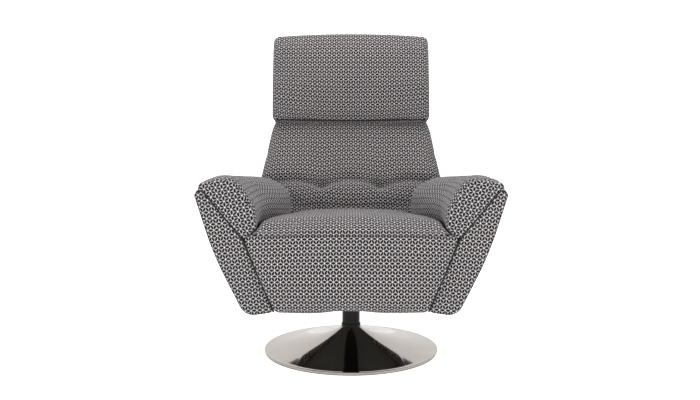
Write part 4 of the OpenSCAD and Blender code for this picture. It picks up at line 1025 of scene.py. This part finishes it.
def head_outline(x):
    w = off_middle(x)
    bulge, smile, top = HEAD_CROWN * (1 - w), HEAD_SMILE * w, HEAD_TOP - HEAD_FALL * w
    front, rear, z = HEAD_FRONT_Y, HEAD_REAR_Y, HEAD_AXIS[1]
    angles = np.linspace(HEAD_LIP - smile, HEAD_BACK_LIP, BORE_POINTS)
    return [HEAD_AXIS + polar(HEAD_BORE_R, a) for a in angles] + [np.array(p) for p in (
        [rear + HEAD_T * 0.26, z + HEAD_T * 0.46],
        [rear + HEAD_T * 0.14, z + HEAD_T * 1.5],
        [rear - HEAD_T * 0.12, top - HEAD_T * 0.3],
        [rear - HEAD_T * 0.35, top],
        [front + HEAD_T * 0.36, top],
        [front + HEAD_T * 0.16 - bulge * 0.6, top - HEAD_T * 0.3],
        [front - bulge, z + HEAD_T * 1.7],
        [front + HEAD_T * 0.02 - bulge, z + HEAD_T * 0.96],
        [front + HEAD_T * 0.05 - bulge * 0.7, z + HEAD_T * 0.46 + smile],
    )]


def make_headrest():
    stations = [(-HEAD_W / 2 + a, d) for a, d in end_steps(HEAD_EDGE_R, 7)]
    stations += [(x, 0) for x in np.linspace(-HEAD_W / 2 + 30, HEAD_W / 2 - 30, 42)]
    stations += [(HEAD_W / 2 - a, d) for a, d in end_steps(HEAD_EDGE_R, 7)[::-1]]
    half_size = np.array([HEAD_T * 0.56, (HEAD_TOP - HEAD_AXIS[1]) / 2])
    rings = []
    for x, d in stations:
        pts = ring(head_outline(x), HEAD_RADII, HEAD_CUTS, HEAD_STEPS)
        centre = middle(pts)
        pts = centre + (pts - centre) * (1 - d / half_size)
        spread = 1 + 0.012 * (900 - pts[:, 1]) / 150
        rings.append(np.stack([x * spread, pts[:, 0], pts[:, 1]], 1))
    mid = list(rings[len(rings) // 2])
    run = running(mid + mid[:1])

    def side(j, i, s, p):
        arch = HEAD_ROWS_ARCH * off_middle(p[0]) * smooth((HEAD_TOP - 20 - p[2]) / 200)
        return (p[0], -run[i] - arch)

    obj = shell("headrest_cover", rings, side, lambda c, p: (p[1], p[2]))
    co = coords(obj) / MM
    d = np.hypot(co[:, 1] - HEAD_AXIS[0], co[:, 2] - HEAD_AXIS[1])
    held = (d < TOP_R + 6) | (np.abs(co[:, 0]) > HEAD_W / 2 - 14)
    held = held | (co[:, 2] > HEAD_TOP - HEAD_FALL * off_middle(co[:, 0]) - 7)
    puff(obj, held, 3.0, 0.006, 0.012)
    # Painted shadow: a dark cord along the lip's lower front edge draws the shade line under the headrest
    n = len(rings[0])
    lip_point = edge_span(HEAD_CUTS, HEAD_STEPS, len(HEAD_CUTS) - 1)[0] - 1
    lip = coords(obj)[:len(rings) * n].reshape(len(rings), n, 3)[:, lip_point] / MM
    cord("headrest_lip_painted_shadow", lip[6:-6] + LIP_SHADOW_OFFSET, LIP_SHADOW_R, "headrest", False)
    rounder(obj)
    dress(obj, "headrest", ["headrest_cushion"])


# Rear panel

REAR_LOW, REAR_HIGH, REAR_Y, REAR_T = 205.3, 340.0, 212.0, 12.0


def make_rear_panel():
    levels = [(REAR_LOW + a, d) for a, d in end_steps(4, 3)]
    levels += [(z, 0) for z in np.linspace(215, 330, 10)]
    levels += [(REAR_HIGH - a, d) for a, d in end_steps(4, 3)[::-1]]
    rings = []
    for z, d in levels:
        half = panel_in(z) - 0.6 - d
        near = REAR_Y + panel_shift(z, 1) + d
        pts = box_ring(half, near, near + REAR_T - 2 * d, [4] * 4, [30, 1, 30, 1], 3)
        rings.append(np.stack([pts[:, 0], pts[:, 1], np.full(len(pts), z)], 1))
    obj = shell("rear_panel_cover", rings, lambda j, i, s, p: (p[0], p[2]), lambda c, p: (p[0], p[1]))
    rounder(obj)
    dress(obj, "seat_unit", ["rear_panel"])


# Floor plate: a spun trumpet with a rolled edge

PLATE_SEGMENTS = 192
NECK_R, COLUMN_GAP_R = 29.0, 28.4
RIM_R, RIM_Z, CONE_SLOPE = 266.0, 9.6, 0.1
FLARE_H, FLARE_RUN = 25.8, 40.0
CURVE_H, CURVE_RUN = 20.0, 150.0
PLATE_WALL = 2.0
ROLL_CENTRE, ROLL_R = (273.0, 7.4), 2.2


def lathe(name, profile):
    """A turned shell; the profile is closed, and runs over the top to the rim and back inside."""
    verts, faces = [], []
    for k in range(PLATE_SEGMENTS):
        a = 2 * math.pi * k / PLATE_SEGMENTS
        verts += [(r * math.cos(a) * MM, r * math.sin(a) * MM, z * MM) for r, z in profile]
    n = len(profile)
    for k in range(PLATE_SEGMENTS):
        here, there = k * n, (k + 1) % PLATE_SEGMENTS * n
        for i in range(n):
            after = (i + 1) % n
            faces.append((here + i, there + i, there + after, here + after))
    return plain_object(name, verts, faces)


def plate_z(r):
    """Height of the plate's top: a shallow cone, a flare round the neck, and a fuller curve outside it."""
    cone = RIM_Z + CONE_SLOPE * (RIM_R - r)
    flare = FLARE_H * math.exp(-(r - NECK_R) / FLARE_RUN)
    return cone + flare + CURVE_H * (bell((r - NECK_R) / CURVE_RUN) - bell((RIM_R - NECK_R) / CURVE_RUN))


def make_plate():
    radii = np.concatenate([30 + 45 * np.linspace(0, 1, 30) ** 1.5, np.linspace(79, 265, 46)])
    profile = [(NECK_R + 0.4, plate_z(NECK_R))] + [(r, plate_z(r)) for r in radii]
    profile += [(RIM_R + 1.5, RIM_Z + 0.1), (RIM_R + 4, RIM_Z)]
    for a in range(0, 181, 20):
        z, r = polar(ROLL_R, a)
        profile.append((ROLL_CENTRE[0] + r, ROLL_CENTRE[1] + z))
    profile += [(272.6, 1.6), (272.0, 6.0)]
    profile += [(r, plate_z(r + 1) - PLATE_WALL) for r in np.linspace(262, 45, 30)]
    profile += [(COLUMN_GAP_R, 62), (COLUMN_GAP_R, plate_z(NECK_R) - 0.2)]
    obj = lathe("polished_plate", profile)
    obj.data.materials.append(POLISHED)
    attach(obj, "base")
    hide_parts("base_cover")


make_plate()
make_seat()
make_flap()
for side in (1, -1):
    make_panel(side)
for side in (1, -1):
    make_pad(side)
make_back()
make_back_cover()
make_headrest()
make_rear_panel()


# Studio: a pale floor that keeps the shadow, a backdrop, soft lamps and a surround. The camera sees it
# white and glossy reflections see it a little darker. The chair is lit by the lamps, the floor and the
# surround's dim pale light

STAGE_COLOUR = (0.86, 0.86, 0.86, 1)
STAGE_GLOW = 0.9
STAGE_IN_GLOSS = 0.49
SURROUND_IN_GLOSS = 0.7
AMBIENT = (1.0, 0.985, 0.975, 1)
AMBIENT_STRENGTH = 0.3
FLOOR_Z = -0.0005


def seen_share(k, in_gloss):
    """1 to the camera, in_gloss to glossy reflections and 0 to all other light."""
    path = k.node("ShaderNodeLightPath")
    return k.math("MULTIPLY_ADD", path.outputs["Is Glossy Ray"], in_gloss, path.outputs["Is Camera Ray"])


def stage_material():
    k = Nodes(bpy.data.materials.new("stage"))
    diffuse = k.node("ShaderNodeBsdfDiffuse", Color=STAGE_COLOUR)
    strength = k.math("MULTIPLY", seen_share(k, STAGE_IN_GLOSS), STAGE_GLOW)
    glow = k.node("ShaderNodeEmission", Color=(1, 1, 1, 1), Strength=strength)
    both = k.node("ShaderNodeAddShader")
    k.link(diffuse.outputs[0], both.inputs[0])
    k.link(glow.outputs[0], both.inputs[1])
    return k.surface(both)


def stage_sheet(name, corners, material):
    obj = plain_object(name, corners, [(0, 1, 2, 3)])
    obj.data.materials.append(material)


def make_surround():
    world = SCENE.world or bpy.data.worlds.new("world")
    SCENE.world = world
    k = Nodes(world, "ShaderNodeOutputWorld")
    light = k.node("ShaderNodeBackground", Color=AMBIENT, Strength=AMBIENT_STRENGTH)
    white = k.node("ShaderNodeBackground", Color=(1, 1, 1, 1), Strength=1.0)
    mix = k.node("ShaderNodeMixShader", Fac=seen_share(k, SURROUND_IN_GLOSS))
    k.link(light.outputs[0], mix.inputs[1])
    k.link(white.outputs[0], mix.inputs[2])
    k.surface(mix)


def lamp(name, place, target, size, power):
    """A soft lamp that lights the chair but shows neither to the camera nor in reflections."""
    light = bpy.data.lights.new(name, "AREA")
    light.shape = "RECTANGLE"
    light.size, light.size_y = size
    light.energy = power
    obj = link_object(name, light)
    obj.location = place
    obj.visible_camera = obj.visible_glossy = False
    obj.rotation_euler = (Vector(target) - Vector(place)).to_track_quat("-Z", "Y").to_euler()


STAGE = stage_material()
floor = [(-30, -30, FLOOR_Z), (30, -30, FLOOR_Z), (30, 30, FLOOR_Z), (-30, 30, FLOOR_Z)]
stage_sheet("floor", floor, STAGE)
stage_sheet("backdrop", [(-6, 4, FLOOR_Z), (6, 4, FLOOR_Z), (6, 4, 5), (-6, 4, 5)], STAGE)
make_surround()
lamp("top_softbox", (0.0, 0.0, 2.6), (0, 0, 0.4), (2.2, 1.8), 38)
for name, x in (("left_softbox", -1.5), ("right_softbox", 1.5)):
    lamp(name, (x, -1.9, 0.65), (0, -0.1, 0.2), (1.4, 1.0), 24)
